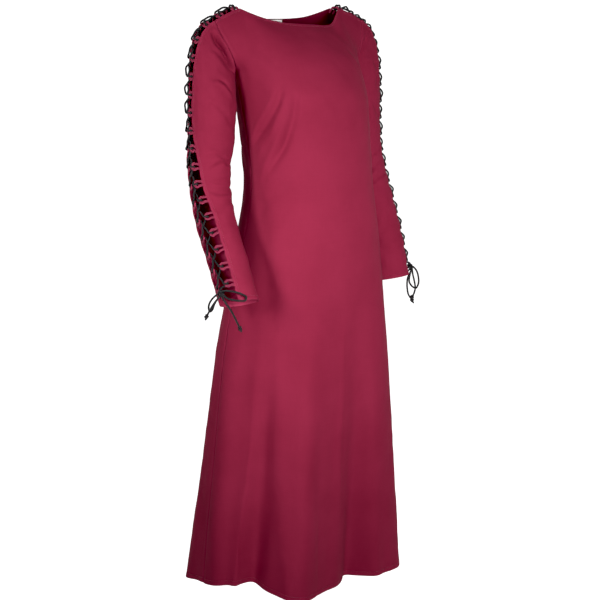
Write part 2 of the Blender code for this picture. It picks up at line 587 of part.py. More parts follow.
def build():
    front, back = panel_grid(True), panel_grid(False)
    right, left = sleeve_grid(-1.0), sleeve_grid(1.0)
    nf = grid_normals(front)
    nb = -grid_normals(back)
    nr = grid_normals(right)
    nl = -grid_normals(left)
    if nr[5, 7] @ (right[5, 7] - right[5].mean(axis=0)) < 0:
        nr, nl = -nr, -nl
    if nf[5, COLUMNS // 2][1] > 0:
        nf = -nf
    if nb[5, COLUMNS // 2][1] < 0:
        nb = -nb
    shared_normals(nf, nb, nl, nr, None)

    # leave the seam's clear space: the side edges step apart, and the sleeves step off the armholes
    low = len(BODY_ROWS_Z) - 1
    for col in (0, -1):
        front[: low + 1, col, 1] -= SEAM / 2.0
        back[: low + 1, col, 1] += SEAM / 2.0
    for grid in (right, left):
        under = 1.0 - np.abs(np.linspace(-1.0, 1.0, grid.shape[1]))[:, None]
        grid[0] += unit(grid[1] - grid[0]) * SEAM * (2.6 + 3.2 * under ** 4)

    wall_mesh("front_panel", front, nf, CLOTH)
    wall_mesh("back_panel", back, nb, CLOTH)
    wall_mesh("sleeve_right", right, nr, CLOTH)
    wall_mesh("sleeve_left", left, nl, CLOTH)

    # blank label inside the back of the neck, on the panel's own points moved in
    rows = []
    for down in np.linspace(0.0018, 0.0018 + LABEL[1], 4):
        row = []
        for x in np.linspace(-LABEL[0] / 2.0, LABEL[0] / 2.0, 5):
            u = np.sign(x) * (abs(x) / NECK_HALF) ** (1 / 0.95) * 0.75
            edge = chest_point(u, 1.0, False)
            v = 1.0
            while np.linalg.norm(chest_point(u, v, False) - edge) < down:
                v -= 0.002
            row.append(chest_point(u, v, False))
        rows.append(row)
    rows = np.array(rows[::-1])
    n = grid_normals(rows)
    if n[0, 0][1] < 0:
        n = -n
    rows = rows - n * (WALL / 2.0 + 0.0005 + LABEL[2] / 2.0)
    bm = bmesh.new()
    outer = [[bm.verts.new(p + q * LABEL[2] / 2.0) for p, q in zip(r, m)] for r, m in zip(rows, n)]
    inner = [[bm.verts.new(p - q * LABEL[2] / 2.0) for p, q in zip(r, m)] for r, m in zip(rows, n)]
    ni, nj = len(outer), len(outer[0])
    for i in range(ni - 1):
        for j in range(nj - 1):
            bm.faces.new((outer[i][j], outer[i][j + 1], outer[i + 1][j + 1], outer[i + 1][j]))
            bm.faces.new((inner[i][j], inner[i + 1][j], inner[i + 1][j + 1], inner[i][j + 1]))
        for j in (0, nj - 1):
            bm.faces.new((outer[i][j], outer[i + 1][j], inner[i + 1][j], inner[i][j]))
    for j in range(nj - 1):
        for i in (0, ni - 1):
            bm.faces.new((outer[i][j], inner[i][j], inner[i][j + 1], outer[i][j + 1]))
    bm.normal_update()
    bmesh.ops.recalc_face_normals(bm, faces=bm.faces)
    finish_mesh("neck_label", bm, WHITE)

    for side, word, bows in ((-1.0, "right", BOW_RIGHT), (1.0, "left", BOW_LEFT)):
        slit = Slit(side)
        loop_chain(f"loops_{word}_front", slit, True)
        loop_chain(f"loops_{word}_back", slit, False)
        centre, axis, out, across = bow_frame(slit)
        for letter, first in (("a", True), ("b", False)):
            route, way = lace_route(slit, first)
            # from the last loop up to the knot
            route.append(centre + across * way * 0.0028 - axis * (KNOT[2] + 0.0026) - out * 0.0010)
            tube(f"lace_{word}_{letter}", np.array(route), LACE, LACE_BLACK)
        ball(f"bow_{word}_knot", centre, KNOT, (across, out, axis), LACE_BLACK)
        for key, rows in bows.items():
            pts = [centre + across * a + out * o + axis * d for a, o, d in rows]
            count = 22 if key.startswith("loop") else 16
            line = curve_through(pts, count)
            # start just clear of the knot
            tube(f"bow_{word}_{key}", line, LACE, LACE_BLACK)
            if key.startswith("end"):
                go = unit(line[-1] - line[-2])
                ball(f"bow_{word}_tip_{key[-1]}", line[-1] + go * (TIP * 1.25 + 0.0006), (TIP, TIP, TIP * 1.25),
                     (across, out, axis), LACE_BLACK, cuts=1)


for old in list(bpy.data.objects):
    bpy.data.objects.remove(old, do_unlink=True)
build()
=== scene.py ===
"""Looks of a historic underdress with laced sleeves, in its worn, hollow form.

Metres, +Z up, -Y is the front, +X the left side as worn. The cloth follows the same rings and
sections as the solids, with finer folds, hems, seams and stitches laid on them.
"""

import bmesh
import bpy
import numpy as np
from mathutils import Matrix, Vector


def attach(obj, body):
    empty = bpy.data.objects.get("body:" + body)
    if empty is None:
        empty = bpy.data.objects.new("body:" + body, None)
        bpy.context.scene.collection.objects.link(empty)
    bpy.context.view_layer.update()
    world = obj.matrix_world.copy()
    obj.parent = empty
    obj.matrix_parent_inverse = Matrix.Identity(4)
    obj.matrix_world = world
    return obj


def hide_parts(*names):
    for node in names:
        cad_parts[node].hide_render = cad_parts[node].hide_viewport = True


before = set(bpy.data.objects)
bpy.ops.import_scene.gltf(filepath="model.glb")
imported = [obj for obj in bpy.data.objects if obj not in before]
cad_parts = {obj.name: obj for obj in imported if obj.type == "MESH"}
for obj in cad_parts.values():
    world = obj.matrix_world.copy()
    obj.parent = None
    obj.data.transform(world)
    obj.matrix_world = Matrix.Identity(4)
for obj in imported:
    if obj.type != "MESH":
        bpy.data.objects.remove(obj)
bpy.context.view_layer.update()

# ---------------------------------------------------------------- sizes
WALL = 0.0015            # cotton canvas
HEM_Z = -1.440
HEM_RISE = (150.0, 46.0, 0.046)
UNDERARM_Z = -0.150
NECK_HALF = 0.141
NECK_FRONT = (
    (-0.141, -0.018, -0.0060), (-0.120, -0.035, -0.0175), (-0.092, -0.047, -0.0285),
    (-0.050, -0.057, -0.0385), (0.000, -0.062, -0.0432), (0.045, -0.061, -0.0452),
    (0.080, -0.056, -0.0465), (0.102, -0.048, -0.0425), (0.122, -0.035, -0.0245),
    (0.141, -0.018, -0.0060),
)
NECK_BACK = (
    (-0.141, 0.018, -0.0060), (-0.113, 0.033, -0.0177), (-0.080, 0.042, -0.0268),
    (-0.050, 0.048, -0.0300), (0.000, 0.051, -0.0310), (0.050, 0.048, -0.0300),
    (0.080, 0.042, -0.0268), (0.113, 0.033, -0.0177), (0.141, 0.018, -0.0060),
)
SHOULDER_HALF = 0.210
SHOULDER_DROP = (-0.006, -0.034)
SHOULDER_GAP = 0.018

LACE = 0.0046            # lace diameter
RUNGS = 18
LOOP_THICK = (0.0030, 0.0024)   # half width and half thickness of the sewn loops
LOOP_HALF = 0.0074       # half width of a loop between the middles of its legs
LOOP_OUT = 0.0180
LOOP_FOOT = 0.0054       # the same where its two legs come out from under the cloth
LOOP_LEAN = 26.0
LOOP_CLEAR = 0.0026
LACE_CLEAR = 0.0030
LACED_TO = {-1.0: 0.0435, 1.0: 0.0335}
LIFT_GAP = 0.0036
# How slack the outer strand of each crossing is, from the neck down.
SLACK = {
    -1.0: (0.9, 0.3, 0.1, 0.2, 1.2, 1.3, 1.0, 0.0, 0.1, 0.9, 0.9, 0.2, 0.9, 0.6, 0.7, 0.3, 0.3, 0.4),
    1.0: (1.0, 0.4, 0.8, 0.5, 0.9, 0.7, 1.1, 0.6, 0.9, 0.5, 1.0, 0.8, 1.1, 0.7, 1.0, 0.8, 0.9, 0.5),
}
LIFT = {-1.0: (0.0105, 0.0150), 1.0: (0.0125, 0.0195)}

BAND = 0.0085            # width of the stitched band at the neck and the slits
HEM_BAND = 0.0130        # width of the turned hem at the bottom and the cuffs
LABEL = (0.040, 0.022, 0.0008)
KNOT = (0.0074, 0.0058, 0.0070)
KNOT_OUT = 0.0030
TIP = 0.0040

# Rings of the body: z, half width, y of the front, back and side seam, squareness, sway.
BODY = (
    (-0.150, 0.165, -0.169, 0.069, -0.026, 2.20, 0.006),
    (-0.200, 0.165, -0.195, 0.073, -0.037, 2.20, 0.010),
    (-0.300, 0.161, -0.196, 0.073, -0.047, 2.25, 0.020),
    (-0.440, 0.162, -0.195, 0.072, -0.052, 2.30, 0.030),
    (-0.560, 0.181, -0.198, 0.080, -0.048, 2.35, 0.030),
    (-0.660, 0.198, -0.198, 0.084, -0.048, 2.35, 0.026),
    (-0.780, 0.217, -0.199, 0.085, -0.045, 2.45, 0.020),
    (-0.900, 0.230, -0.204, 0.089, -0.045, 2.55, 0.014),
    (-1.100, 0.246, -0.213, 0.101, -0.047, 2.70, 0.006),
    (-1.300, 0.262, -0.218, 0.118, -0.046, 2.85, 0.000),
    (-1.440, 0.272, -0.215, 0.136, -0.042, 2.95, 0.000),
)
# Flutes of the skirt: where (degrees), half width, reach at the hem, height where it dies out.
FLUTES = (
    (20.0, 14.0, 0.006, -0.80),
    (52.0, 14.0, -0.020, -0.80),
    (76.0, 13.0, -0.078, -0.62),
    (106.0, 12.0, 0.050, -0.58),
    (134.0, 12.0, -0.056, -0.70),
    (160.0, 10.0, -0.012, -0.75),
    (203.0, 12.0, 0.012, -0.70),
    (226.0, 12.0, -0.032, -0.80),
    (249.0, 13.0, 0.034, -0.64),
    (272.0, 12.0, -0.040, -0.70),
    (297.0, 13.0, 0.036, -0.62),
    (322.0, 12.0, -0.030, -0.78),
    (342.0, 11.0, 0.010, -0.80),
)
# Sleeve sections: x, y, z, radius, turn of the slit (degrees), half width of the slit.
SLEEVE_RIGHT = (
    (0.2205, -0.022, -0.235, 0.0560, 18.0, 0.0175),
    (0.2245, -0.023, -0.300, 0.0550, 12.0, 0.0190),
    (0.2325, -0.0245, -0.365, 0.0518, -2.0, 0.0240),
    (0.2377, -0.0390, -0.435, 0.0480, -8.0, 0.0268),
    (0.2405, -0.0690, -0.505, 0.0468, -17.0, 0.0312),
    (0.2402, -0.1082, -0.570, 0.0463, -18.0, 0.0308),
    (0.2402, -0.1412, -0.627, 0.0458, -19.0, 0.0304),
    (0.2396, -0.1675, -0.676, 0.0450, -20.0, 0.0300),
)
SLEEVE_LEFT = (
    (0.2325, 0.016, -0.235, 0.0505, -14.0, 0.0165),
    (0.2355, 0.019, -0.300, 0.0505, -14.0, 0.0170),
    (0.2410, 0.017, -0.365, 0.0500, -13.0, 0.0185),
    (0.2480, 0.001, -0.435, 0.0500, -11.0, 0.0215),
    (0.2580, -0.018, -0.505, 0.0500, -9.0, 0.0245),
    (0.2665, -0.038, -0.570, 0.0485, -8.0, 0.0260),
    (0.2735, -0.052, -0.629, 0.0475, -8.0, 0.0265),
    (0.2785, -0.060, -0.681, 0.0470, -8.0, 0.0265),
)
CUFF_DROP = {-1.0: (0.20, 0.15), 1.0: (0.140, 0.0)}
# Bows: each row is across (+ to the front edge), out and down the arm, from the knot.
BOW_RIGHT = {
    "loop_1": ((0.006, 0.006, 0.000), (0.019, 0.009, 0.002), (0.034, -0.004, 0.010),
               (0.044, -0.018, 0.020), (0.0475, -0.027, 0.029), (0.044, -0.024, 0.036),
               (0.033, -0.012, 0.032), (0.018, 0.000, 0.022), (0.006, 0.003, 0.0070)),
    "loop_2": ((-0.006, 0.006, 0.001), (-0.016, 0.013, 0.006), (-0.030, 0.015, 0.014),
               (-0.040, 0.012, 0.023), (-0.0425, 0.008, 0.031), (-0.036, 0.006, 0.029),
               (-0.024, 0.007, 0.0195), (-0.012, 0.005, 0.011), (-0.0045, 0.004, 0.0065)),
    "end_1": ((0.0025, 0.005, 0.0075), (0.010, 0.008, 0.024), (0.016, 0.006, 0.042),
              (0.019, 0.002, 0.060), (0.022, 0.001, 0.078), (0.026, 0.002, 0.092)),
    "end_2": ((-0.0015, 0.007, 0.0078), (-0.010, 0.015, 0.017), (-0.022, 0.0185, 0.025),
              (-0.034, 0.018, 0.032), (-0.040, 0.0175, 0.0350), (-0.0455, 0.0165, 0.0375)),
}
BOW_LEFT = {
    "loop_1": ((0.0045, 0.007, 0.002), (0.008, 0.014, 0.014), (0.0085, 0.0165, 0.033),
               (0.008, 0.014, 0.048), (0.0025, 0.0085, 0.0585), (-0.004, 0.001, 0.053),
               (-0.006, -0.0042, 0.040), (-0.004, -0.001, 0.023), (-0.0005, 0.0035, 0.0078)),
    "loop_2": ((-0.006, 0.006, 0.001), (-0.016, 0.008, 0.004), (-0.030, -0.004, 0.008),
               (-0.040, -0.020, 0.014), (-0.0425, -0.027, 0.021), (-0.037, -0.021, 0.0255),
               (-0.026, -0.008, 0.020), (-0.014, 0.001, 0.012), (-0.005, 0.0030, 0.0068)),
    "end_1": ((0.0045, 0.003, 0.0065), (0.007, -0.005, 0.015), (0.007, -0.0148, 0.0289),
              (0.008, -0.0200, 0.0500), (0.009, -0.020, 0.0700), (0.0085, -0.014, 0.0815)),
    "end_2": ((-0.0045, 0.0084, 0.0052), (-0.010, 0.0112, 0.0231), (-0.0115, 0.014, 0.044),
              (-0.011, 0.0134, 0.0602), (-0.009, 0.0070, 0.0720), (-0.0073, 0.002, 0.0770)),
}

# Folds laid one by one. width and depth of the trough (- is a ridge), the soft ridge beside it and
# the side that it is on, then the places that the fold runs through.
# Front and back: u from the right seam (-1) to the left (1); h below the underarm in metres (-),
# or 0 to 1 from the underarm to the neck.
FOLD_COLUMNS = ("width", "depth", "beside", "side", "places")
FRONT_FOLDS = (
    (0.0080, 0.0068, 0.0038, 1, ((-0.470, -0.030), (-0.550, -0.069), (-0.650, -0.104), (-0.783, -0.139), (-0.940, -0.178))),
    (0.0095, 0.0095, 0.0046, 1, ((-0.350, -0.045), (-0.400, -0.095), (-0.450, -0.130), (-0.533, -0.173), (-0.650, -0.208), (-0.840, -0.262))),
    (0.0085, -0.0048, 0.0, 1, ((-0.400, -0.030), (-0.517, -0.087), (-0.617, -0.130), (-0.733, -0.164), (-0.917, -0.212))),
    (0.0120, 0.0026, 0.0010, -1, ((-0.420, -0.220), (-0.560, -0.262), (-0.720, -0.300), (-0.900, -0.345))),
    (0.0100, 0.0030, 0.0016, 1, ((0.440, 0.440), (0.550, 0.224), (0.610, 0.061), (0.640, -0.020))),
    (0.0090, 0.0034, 0.0018, -1, ((0.470, -0.040), (0.600, -0.090), (0.750, -0.140), (0.930, -0.190))),
    (0.0100, 0.0030, 0.0014, -1, ((0.540, -0.130), (0.680, -0.190), (0.850, -0.240))),
    (0.0080, 0.0020, 0.0008, 1, ((-0.620, 0.420), (-0.560, 0.260), (-0.480, 0.130), (-0.400, 0.050))),
    (0.0260, 0.0075, 0.0, 1, ((-0.933, -0.286), (-0.767, -0.398), (-0.600, -0.520), (-0.500, -0.640))),
    (0.0070, -0.0040, -0.0012, 1, ((0.036, -0.600), (0.033, -0.805), (0.017, -0.926), (0.017, -1.108), (0.000, -1.275))),
    (0.0450, 0.0225, 0.0030, 1, ((-0.770, -0.420), (-0.730, -0.640), (-0.700, -0.830), (-0.670, -1.000), (-0.640, -1.130), (-0.590, -1.290))),
    (0.0200, -0.0070, 0.0, 1, ((-0.470, -0.600), (-0.390, -0.788), (-0.333, -0.961), (-0.262, -1.200), (-0.240, -1.290))),
    (0.0320, 0.0055, 0.0010, 1, ((0.340, -0.640), (0.325, -0.814), (0.315, -0.944), (0.310, -1.082), (0.310, -1.290))),
    (0.0200, -0.0018, 0.0, 1, ((-0.970, -0.600), (-0.945, -0.805), (-0.925, -0.978), (-0.900, -1.221), (-0.890, -1.290))),
    (0.0160, 0.0030, 0.0016, -1, ((0.560, -0.820), (0.560, -0.980), (0.575, -1.140), (0.580, -1.290))),
    (0.0140, 0.0022, 0.0012, 1, ((-0.080, -0.820), (-0.075, -1.000), (-0.060, -1.290))),
    (0.0150, -0.0026, 0.0, 1, ((0.780, -0.700), (0.790, -0.950), (0.800, -1.290))),
)
BACK_FOLDS = (
    (0.0110, 0.0046, 0.0026, 1, ((-0.300, 0.120), (-0.400, -0.020), (-0.520, -0.110), (-0.680, -0.180), (-0.880, -0.240))),
    (0.0100, 0.0040, 0.0022, -1, ((0.280, 0.140), (0.400, 0.000), (0.540, -0.110), (0.700, -0.170), (0.900, -0.220))),
    (0.0120, 0.0036, 0.0018, -1, ((-0.600, -0.280), (-0.380, -0.310), (-0.120, -0.318), (0.120, -0.312))),
    (0.0110, 0.0030, 0.0016, 1, ((-0.140, -0.262), (0.120, -0.258), (0.400, -0.272), (0.680, -0.300))),
    (0.0130, 0.0028, 0.0014, 1, ((-0.450, -0.352), (-0.200, -0.372), (0.180, -0.366))),
    (0.0090, 0.0026, 0.0014, 1, ((-0.660, 0.500), (-0.700, 0.300), (-0.760, 0.130), (-0.860, 0.000))),
    (0.0090, 0.0026, 0.0014, -1, ((0.650, 0.520), (0.700, 0.300), (0.770, 0.120), (0.870, 0.000))),
    (0.0200, 0.0060, 0.0030, 1, ((-0.480, -0.560), (-0.490, -0.780), (-0.500, -1.000), (-0.510, -1.290))),
    (0.0170, -0.0045, 0.0, 1, ((-0.220, -0.600), (-0.235, -0.840), (-0.240, -1.060), (-0.240, -1.290))),
    (0.0210, 0.0066, 0.0030, -1, ((0.010, -0.580), (0.020, -0.800), (0.025, -1.040), (0.020, -1.290))),
    (0.0170, -0.0050, 0.0, 1, ((0.290, -0.560), (0.300, -0.800), (0.310, -1.040), (0.300, -1.290))),
    (0.0200, 0.0060, 0.0028, -1, ((0.560, -0.640), (0.575, -0.860), (0.580, -1.080), (0.575, -1.290))),
    (0.0140, 0.0028, 0.0012, 1, ((-0.750, -0.700), (-0.760, -0.940), (-0.770, -1.290))),
    (0.0140, 0.0026, 0.0012, 1, ((0.770, -0.760), (0.790, -1.000), (0.800, -1.290))),
)
# Sleeves: t round the arm from the front slit edge (0) to the back one (1), q down the arm:
# 0 armhole, 1 upper arm, 2 cuff.
SLEEVE_RIGHT_FOLDS = (
    (0.0072, 0.0145, 0.0046, -1, ((0.050, 0.120), (0.134, 0.122), (0.202, 0.092), (0.294, 0.090), (0.378, 0.150), (0.440, 0.240))),
    (0.0080, 0.0030, 0.0014, 1, ((0.110, 0.300), (0.190, 0.240), (0.280, 0.240), (0.360, 0.320))),
    (0.0050, 0.0028, 0.0016, 1, ((0.160, 0.680), (0.227, 0.603), (0.286, 0.603), (0.345, 0.693), (0.400, 0.820))),
    (0.0070, 0.0018, 0.0010, 1, ((0.100, 0.900), (0.210, 0.955), (0.311, 1.055), (0.420, 1.140))),
    (0.0052, 0.0032, 0.0020, 1, ((0.070, 1.250), (0.160, 1.226), (0.227, 1.256), (0.303, 1.290), (0.420, 1.300))),
    (0.0050, 0.0028, 0.0018, -1, ((0.060, 1.350), (0.168, 1.310), (0.277, 1.298), (0.400, 1.330))),
    (0.0052, 0.0030, 0.0018, 1, ((0.045, 1.380), (0.134, 1.397), (0.286, 1.380), (0.420, 1.372))),
    (0.0055, 0.0036, 0.0020, 1, ((0.030, 1.430), (0.126, 1.457), (0.277, 1.447), (0.400, 1.410), (0.480, 1.400))),
    (0.0060, 0.0022, 0.0012, 1, ((0.050, 1.560), (0.160, 1.530), (0.280, 1.500), (0.400, 1.490))),
    (0.0070, 0.0016, 0.0008, 1, ((0.060, 1.660), (0.202, 1.620), (0.320, 1.600))),
    (0.0080, 0.0016, 0.0008, 1, ((0.050, 1.800), (0.202, 1.760), (0.360, 1.740))),
    (0.0060, 0.0036, 0.0020, 1, ((0.540, 0.260), (0.620, 0.160), (0.720, 0.120), (0.840, 0.150))),
    (0.0070, 0.0026, 0.0014, 1, ((0.560, 0.620), (0.680, 0.560), (0.820, 0.640))),
    (0.0080, 0.0020, 0.0010, 1, ((0.520, 0.980), (0.680, 0.920), (0.860, 0.960))),
    (0.0070, 0.0034, 0.0018, 1, ((0.520, 1.300), (0.640, 1.330), (0.780, 1.330), (0.930, 1.300))),
    (0.0070, 0.0030, 0.0016, 1, ((0.560, 1.420), (0.700, 1.450), (0.860, 1.430))),
    (0.0080, 0.0020, 0.0010, 1, ((0.540, 1.600), (0.700, 1.560), (0.900, 1.580))),
)
SLEEVE_LEFT_FOLDS = (
    (0.0060, 0.0040, 0.0022, 1, ((0.090, 0.160), (0.180, 0.110), (0.300, 0.100), (0.400, 0.180))),
    (0.0070, 0.0030, 0.0014, 1, ((0.120, 0.500), (0.060, 0.700), (0.109, 0.854))),
    (0.0070, 0.0024, 0.0012, 1, ((0.200, 0.940), (0.100, 1.050), (0.040, 1.160))),
    (0.0052, 0.0032, 0.0018, 1, ((0.340, 1.420), (0.235, 1.397), (0.160, 1.367), (0.040, 1.347))),
    (0.0052, 0.0030, 0.0016, 1, ((0.340, 1.452), (0.235, 1.447), (0.160, 1.437), (0.040, 1.427))),
    (0.0060, 0.0030, 0.0016, -1, ((0.060, 1.280), (0.180, 1.310), (0.320, 1.330), (0.440, 1.340))),
    (0.0070, 0.0024, 0.0012, 1, ((0.080, 1.600), (0.180, 1.650), (0.303, 1.739))),
    (0.0080, 0.0018, 0.0010, 1, ((0.060, 1.720), (0.235, 1.809))),
    (0.0060, 0.0036, 0.0020, 1, ((0.540, 0.240), (0.640, 0.150), (0.740, 0.120), (0.860, 0.160))),
    (0.0075, 0.0026, 0.0012, 1, ((0.560, 0.680), (0.700, 0.600), (0.840, 0.660))),
    (0.0070, 0.0034, 0.0018, 1, ((0.520, 1.330), (0.660, 1.300), (0.800, 1.320), (0.940, 1.290))),
    (0.0070, 0.0030, 0.0016, 1, ((0.560, 1.440), (0.700, 1.410), (0.880, 1.430))),
    (0.0080, 0.0020, 0.0010, 1, ((0.540, 1.620), (0.700, 1.580), (0.900, 1.600))),
)


# ---------------------------------------------------------------- camera
def make_camera():
    data = bpy.data.cameras.new("camera")
    data.lens, data.sensor_width = 92.0, 36.0
    data.clip_start, data.clip_end = 0.05, 60.0
    cam = bpy.data.objects.new("camera", data)
    bpy.context.scene.collection.objects.link(cam)
    cam.location = (-2.04053, -3.20584, 0.0)
    cam.rotation_mode = "QUATERNION"
    cam.rotation_quaternion = Vector((0.534895, 0.823667, -0.188309)).to_track_quat("-Z", "Y")
    bpy.context.scene.camera = cam


make_camera()


# ---------------------------------------------------------------- helpers
def unit(v):
    v = np.asarray(v, float)
    return v / np.maximum(np.linalg.norm(v, axis=-1, keepdims=True), 1e-12)


def smooth(x):
    x = np.clip(x, 0.0, 1.0)
    return x * x * (3.0 - 2.0 * x)


def through(rows, at):
    """A smooth curve through a table's rows, at one place or many."""
    rows = np.asarray(rows, float)
    if rows[0, 0] > rows[-1, 0]:
        rows = rows[::-1]
    x, y = rows[:, 0], rows[:, 1:]
    step = np.diff(x)[:, None]
    rise = np.diff(y, axis=0) / step
    slope = np.empty_like(y)
    slope[0], slope[-1] = rise[0], rise[-1]
    slope[1:-1] = (rise[:-1] * step[1:] + rise[1:] * step[:-1]) / (step[1:] + step[:-1])
    at = np.clip(np.asarray(at, float), x[0], x[-1])
    i = np.clip(np.searchsorted(x, at) - 1, 0, len(x) - 2)
    h = (x[i + 1] - x[i])[..., None]
    t = (at - x[i])[..., None] / h
    return ((1 + 2 * t) * (1 - t) ** 2 * y[i] + t * (1 - t) ** 2 * h * slope[i]
            + t * t * (3 - 2 * t) * y[i + 1] + t * t * (t - 1) * h * slope[i + 1])


def bezier(p0, p1, p2, p3, t):
    t = np.asarray(t, float)[..., None]
    return ((1 - t) ** 3 * p0 + 3 * (1 - t) ** 2 * t * p1
            + 3 * (1 - t) * t * t * p2 + t ** 3 * p3)


def uneven(P, scale, seed):
    """Smooth hills of about one unit over points, about `scale` metres apart."""
    rng = np.random.default_rng(seed)
    total = np.zeros(P.shape[:-1])
    for _ in range(14):
        way = unit(rng.normal(size=3)) * 2.0 * np.pi / (scale * rng.uniform(0.7, 1.5))
        total += np.sin(P @ way + rng.uniform(0.0, 2.0 * np.pi))
    return total / 3.6


# ---------------------------------------------------------------- body surface
def flute(angle, z):
    total = np.zeros(np.broadcast(angle, z).shape)
    for at, half, reach, top in FLUTES:
        away = (angle - at + 180.0) % 360.0 - 180.0
        down = np.clip((top - z) / (top - HEM_Z), 0.0, 1.0)
        total = total + reach * np.exp(-(away / half) ** 2 * 1.4) * down ** 1.35
    seam = np.minimum(np.abs((angle + 90.0) % 180.0 - 90.0) / 12.0, 1.0)
    return total * smooth(seam)


def body(angle, z):
    angle, z = np.broadcast_arrays(np.asarray(angle, float) % 360.0, np.asarray(z, float))
    half, front, back, side, square, sway = np.moveaxis(through(BODY, z), -1, 0)
    a = np.radians(angle)
    c, s = np.cos(a), np.sin(a)
    power = 2.0 / square
    x = half * np.sign(c) * np.abs(c) ** power
    reach = np.where(s >= 0, side - front, back - side)
    y = side - reach * np.sign(s) * np.abs(s) ** power
    out = unit(np.stack([c / half, -s / np.maximum(reach, 0.05)], -1))
    f = flute(angle, z)
    away = (angle - HEM_RISE[0] + 180.0) % 360.0 - 180.0
    rise = HEM_RISE[2] * np.exp(-(away / HEM_RISE[1]) ** 2) * (
        np.maximum(UNDERARM_Z - z, 0.0) / (UNDERARM_Z - HEM_Z)) ** 3
    return np.stack([x + sway + out[..., 0] * f, y + out[..., 1] * f, z + rise], -1)


def top_edge(u, front):
    corner_u = 0.75
    side = np.sign(u) if u else 1.0
    way = -1.0 if front else 1.0
    if abs(u) <= corner_u:
        x = NECK_HALF * (abs(u) / corner_u) ** 0.95
        y, z = through(NECK_FRONT if front else NECK_BACK, side * x)
    else:
        k = (abs(u) - corner_u) / (1.0 - corner_u)
        x = NECK_HALF + (SHOULDER_HALF - NECK_HALF) * k
        y = way * SHOULDER_GAP
        z = SHOULDER_DROP[0] + (SHOULDER_DROP[1] - SHOULDER_DROP[0]) * (0.6 * k + 0.4 * k * k)
    return np.array((side * x, y, z))


def chest(u, v, front):
    """One column above the underarm: v = 0 on the underarm ring, 1 on the top edge."""
    angle = 90.0 * (1.0 - u) if front else 270.0 + 90.0 * u
    low = body(angle, UNDERARM_Z)
    high = top_edge(u, front)
    side = abs(u) ** 5
    sx = np.sign(u) if u else 1.0
    start = unit(low - body(angle, UNDERARM_Z - 0.02))
    if front:
        leave = (1 - side) * start * 0.052 + side * np.array((sx * 0.014, -0.030, 0.026))
        shoulder = smooth((abs(u) - 0.45) / 0.35)
        arrive = ((1 - shoulder) * np.array((0.0, 0.048, 0.036))
                  + shoulder * np.array((sx * 0.006, 0.034, 0.030)))
        arrive = (1 - side) * arrive + side * np.array((sx * 0.010, 0.024, 0.044))
    else:
        leave = (1 - side) * start * 0.050 + side * np.array((sx * 0.010, 0.048, 0.020))
        shoulder = smooth((abs(u) - 0.45) / 0.35)
        arrive = ((1 - shoulder) * np.array((0.0, -0.012, 0.040))
                  + shoulder * np.array((sx * 0.004, -0.034, 0.030)))
        arrive = (1 - side) * arrive + side * np.array((sx * 0.012, -0.030, 0.044))
    return bezier(low, low + leave, high - arrive, high, v)


def panel_place(u, h, front):
    if h < 0:
        return body(90.0 * (1.0 - u) if front else 270.0 + 90.0 * u, UNDERARM_Z + h)
    return chest(u, h, front)


# ---------------------------------------------------------------- sleeve surface
def armhole(side, t):
    if t <= 0.5:
        return chest(side, 1.0 - 2.0 * t, True)
    return chest(side, 2.0 * t - 1.0, False)


def arm_station(side, w):
    table = SLEEVE_RIGHT if side < 0 else SLEEVE_LEFT
    rows = [(i / (len(table) - 1.0),) + row for i, row in enumerate(table)]
    here = through(rows, w)
    ahead, behind = through(rows, min(w + 0.02, 1.0)), through(rows, max(w - 0.02, 0.0))
    mirror = np.array((side, 1.0, 1.0))
    centre = here[:3] * mirror
    axis = unit((ahead[:3] - behind[:3]) * mirror)
    turn = np.radians(here[4])
    out = np.array((side * np.cos(turn), np.sin(turn), 0.0))
    out = unit(out - axis * np.dot(out, axis))
    return centre, axis, out, here[3], here[5]


def arm_ring(side, w, t):
    centre, axis, out, radius, gap = arm_station(side, w)
    forward = np.cross(axis, out) * (-1.0 if side < 0 else 1.0)
    start = np.arcsin(gap / radius)
    a = (start + (2.0 * np.pi - 2.0 * start) * np.asarray(t, float))[..., None]
    drop = (CUFF_DROP[side][0] + CUFF_DROP[side][1] * np.sin(a)) * max((w - 0.7) / 0.3, 0.0) ** 1.5
    return centre + radius * (np.cos(a) * out + np.sin(a) * forward + drop * axis)


def cap_ends(side, t):
    a = armhole(side, t)
    b = arm_ring(side, 0.0, t)
    axis = arm_station(side, 0.0)[1]
    span = np.linalg.norm(b - a)
    top = abs(2.0 * t - 1.0) ** 1.5
    leave = unit(top * np.array((side * 1.0, 0.0, -0.42)) + (1 - top) * np.array((side * 0.35, 0.0, -1.0)))
    return a, a + leave * span * (0.24 + 0.04 * top), b - axis * span * (0.30 + 0.20 * top), b


def sleeve_place(side, q, t):
    if q <= 1.0:
        return bezier(*cap_ends(side, t), q)
    return arm_ring(side, q - 1.0, t)


# ---------------------------------------------------------------- fine grids
def edge_spaced(low, high, count, low_fine, high_fine):
    """Places from low to high with extra ones near both ends. low_fine and high_fine are distances from the ends."""
    inner_low = low + (low_fine[-1] if low_fine else 0.0)
    inner_high = high - (high_fine[-1] if high_fine else 0.0)
    return np.concatenate([
        [low + d for d in low_fine[:-1]], np.linspace(inner_low, inner_high, count),
        [high - d for d in high_fine[:-1][::-1]]])


SEAM_STEPS = [0.0, 0.0022, 0.0046, 0.0074, 0.0106, 0.0142, 0.0182, 0.0226]


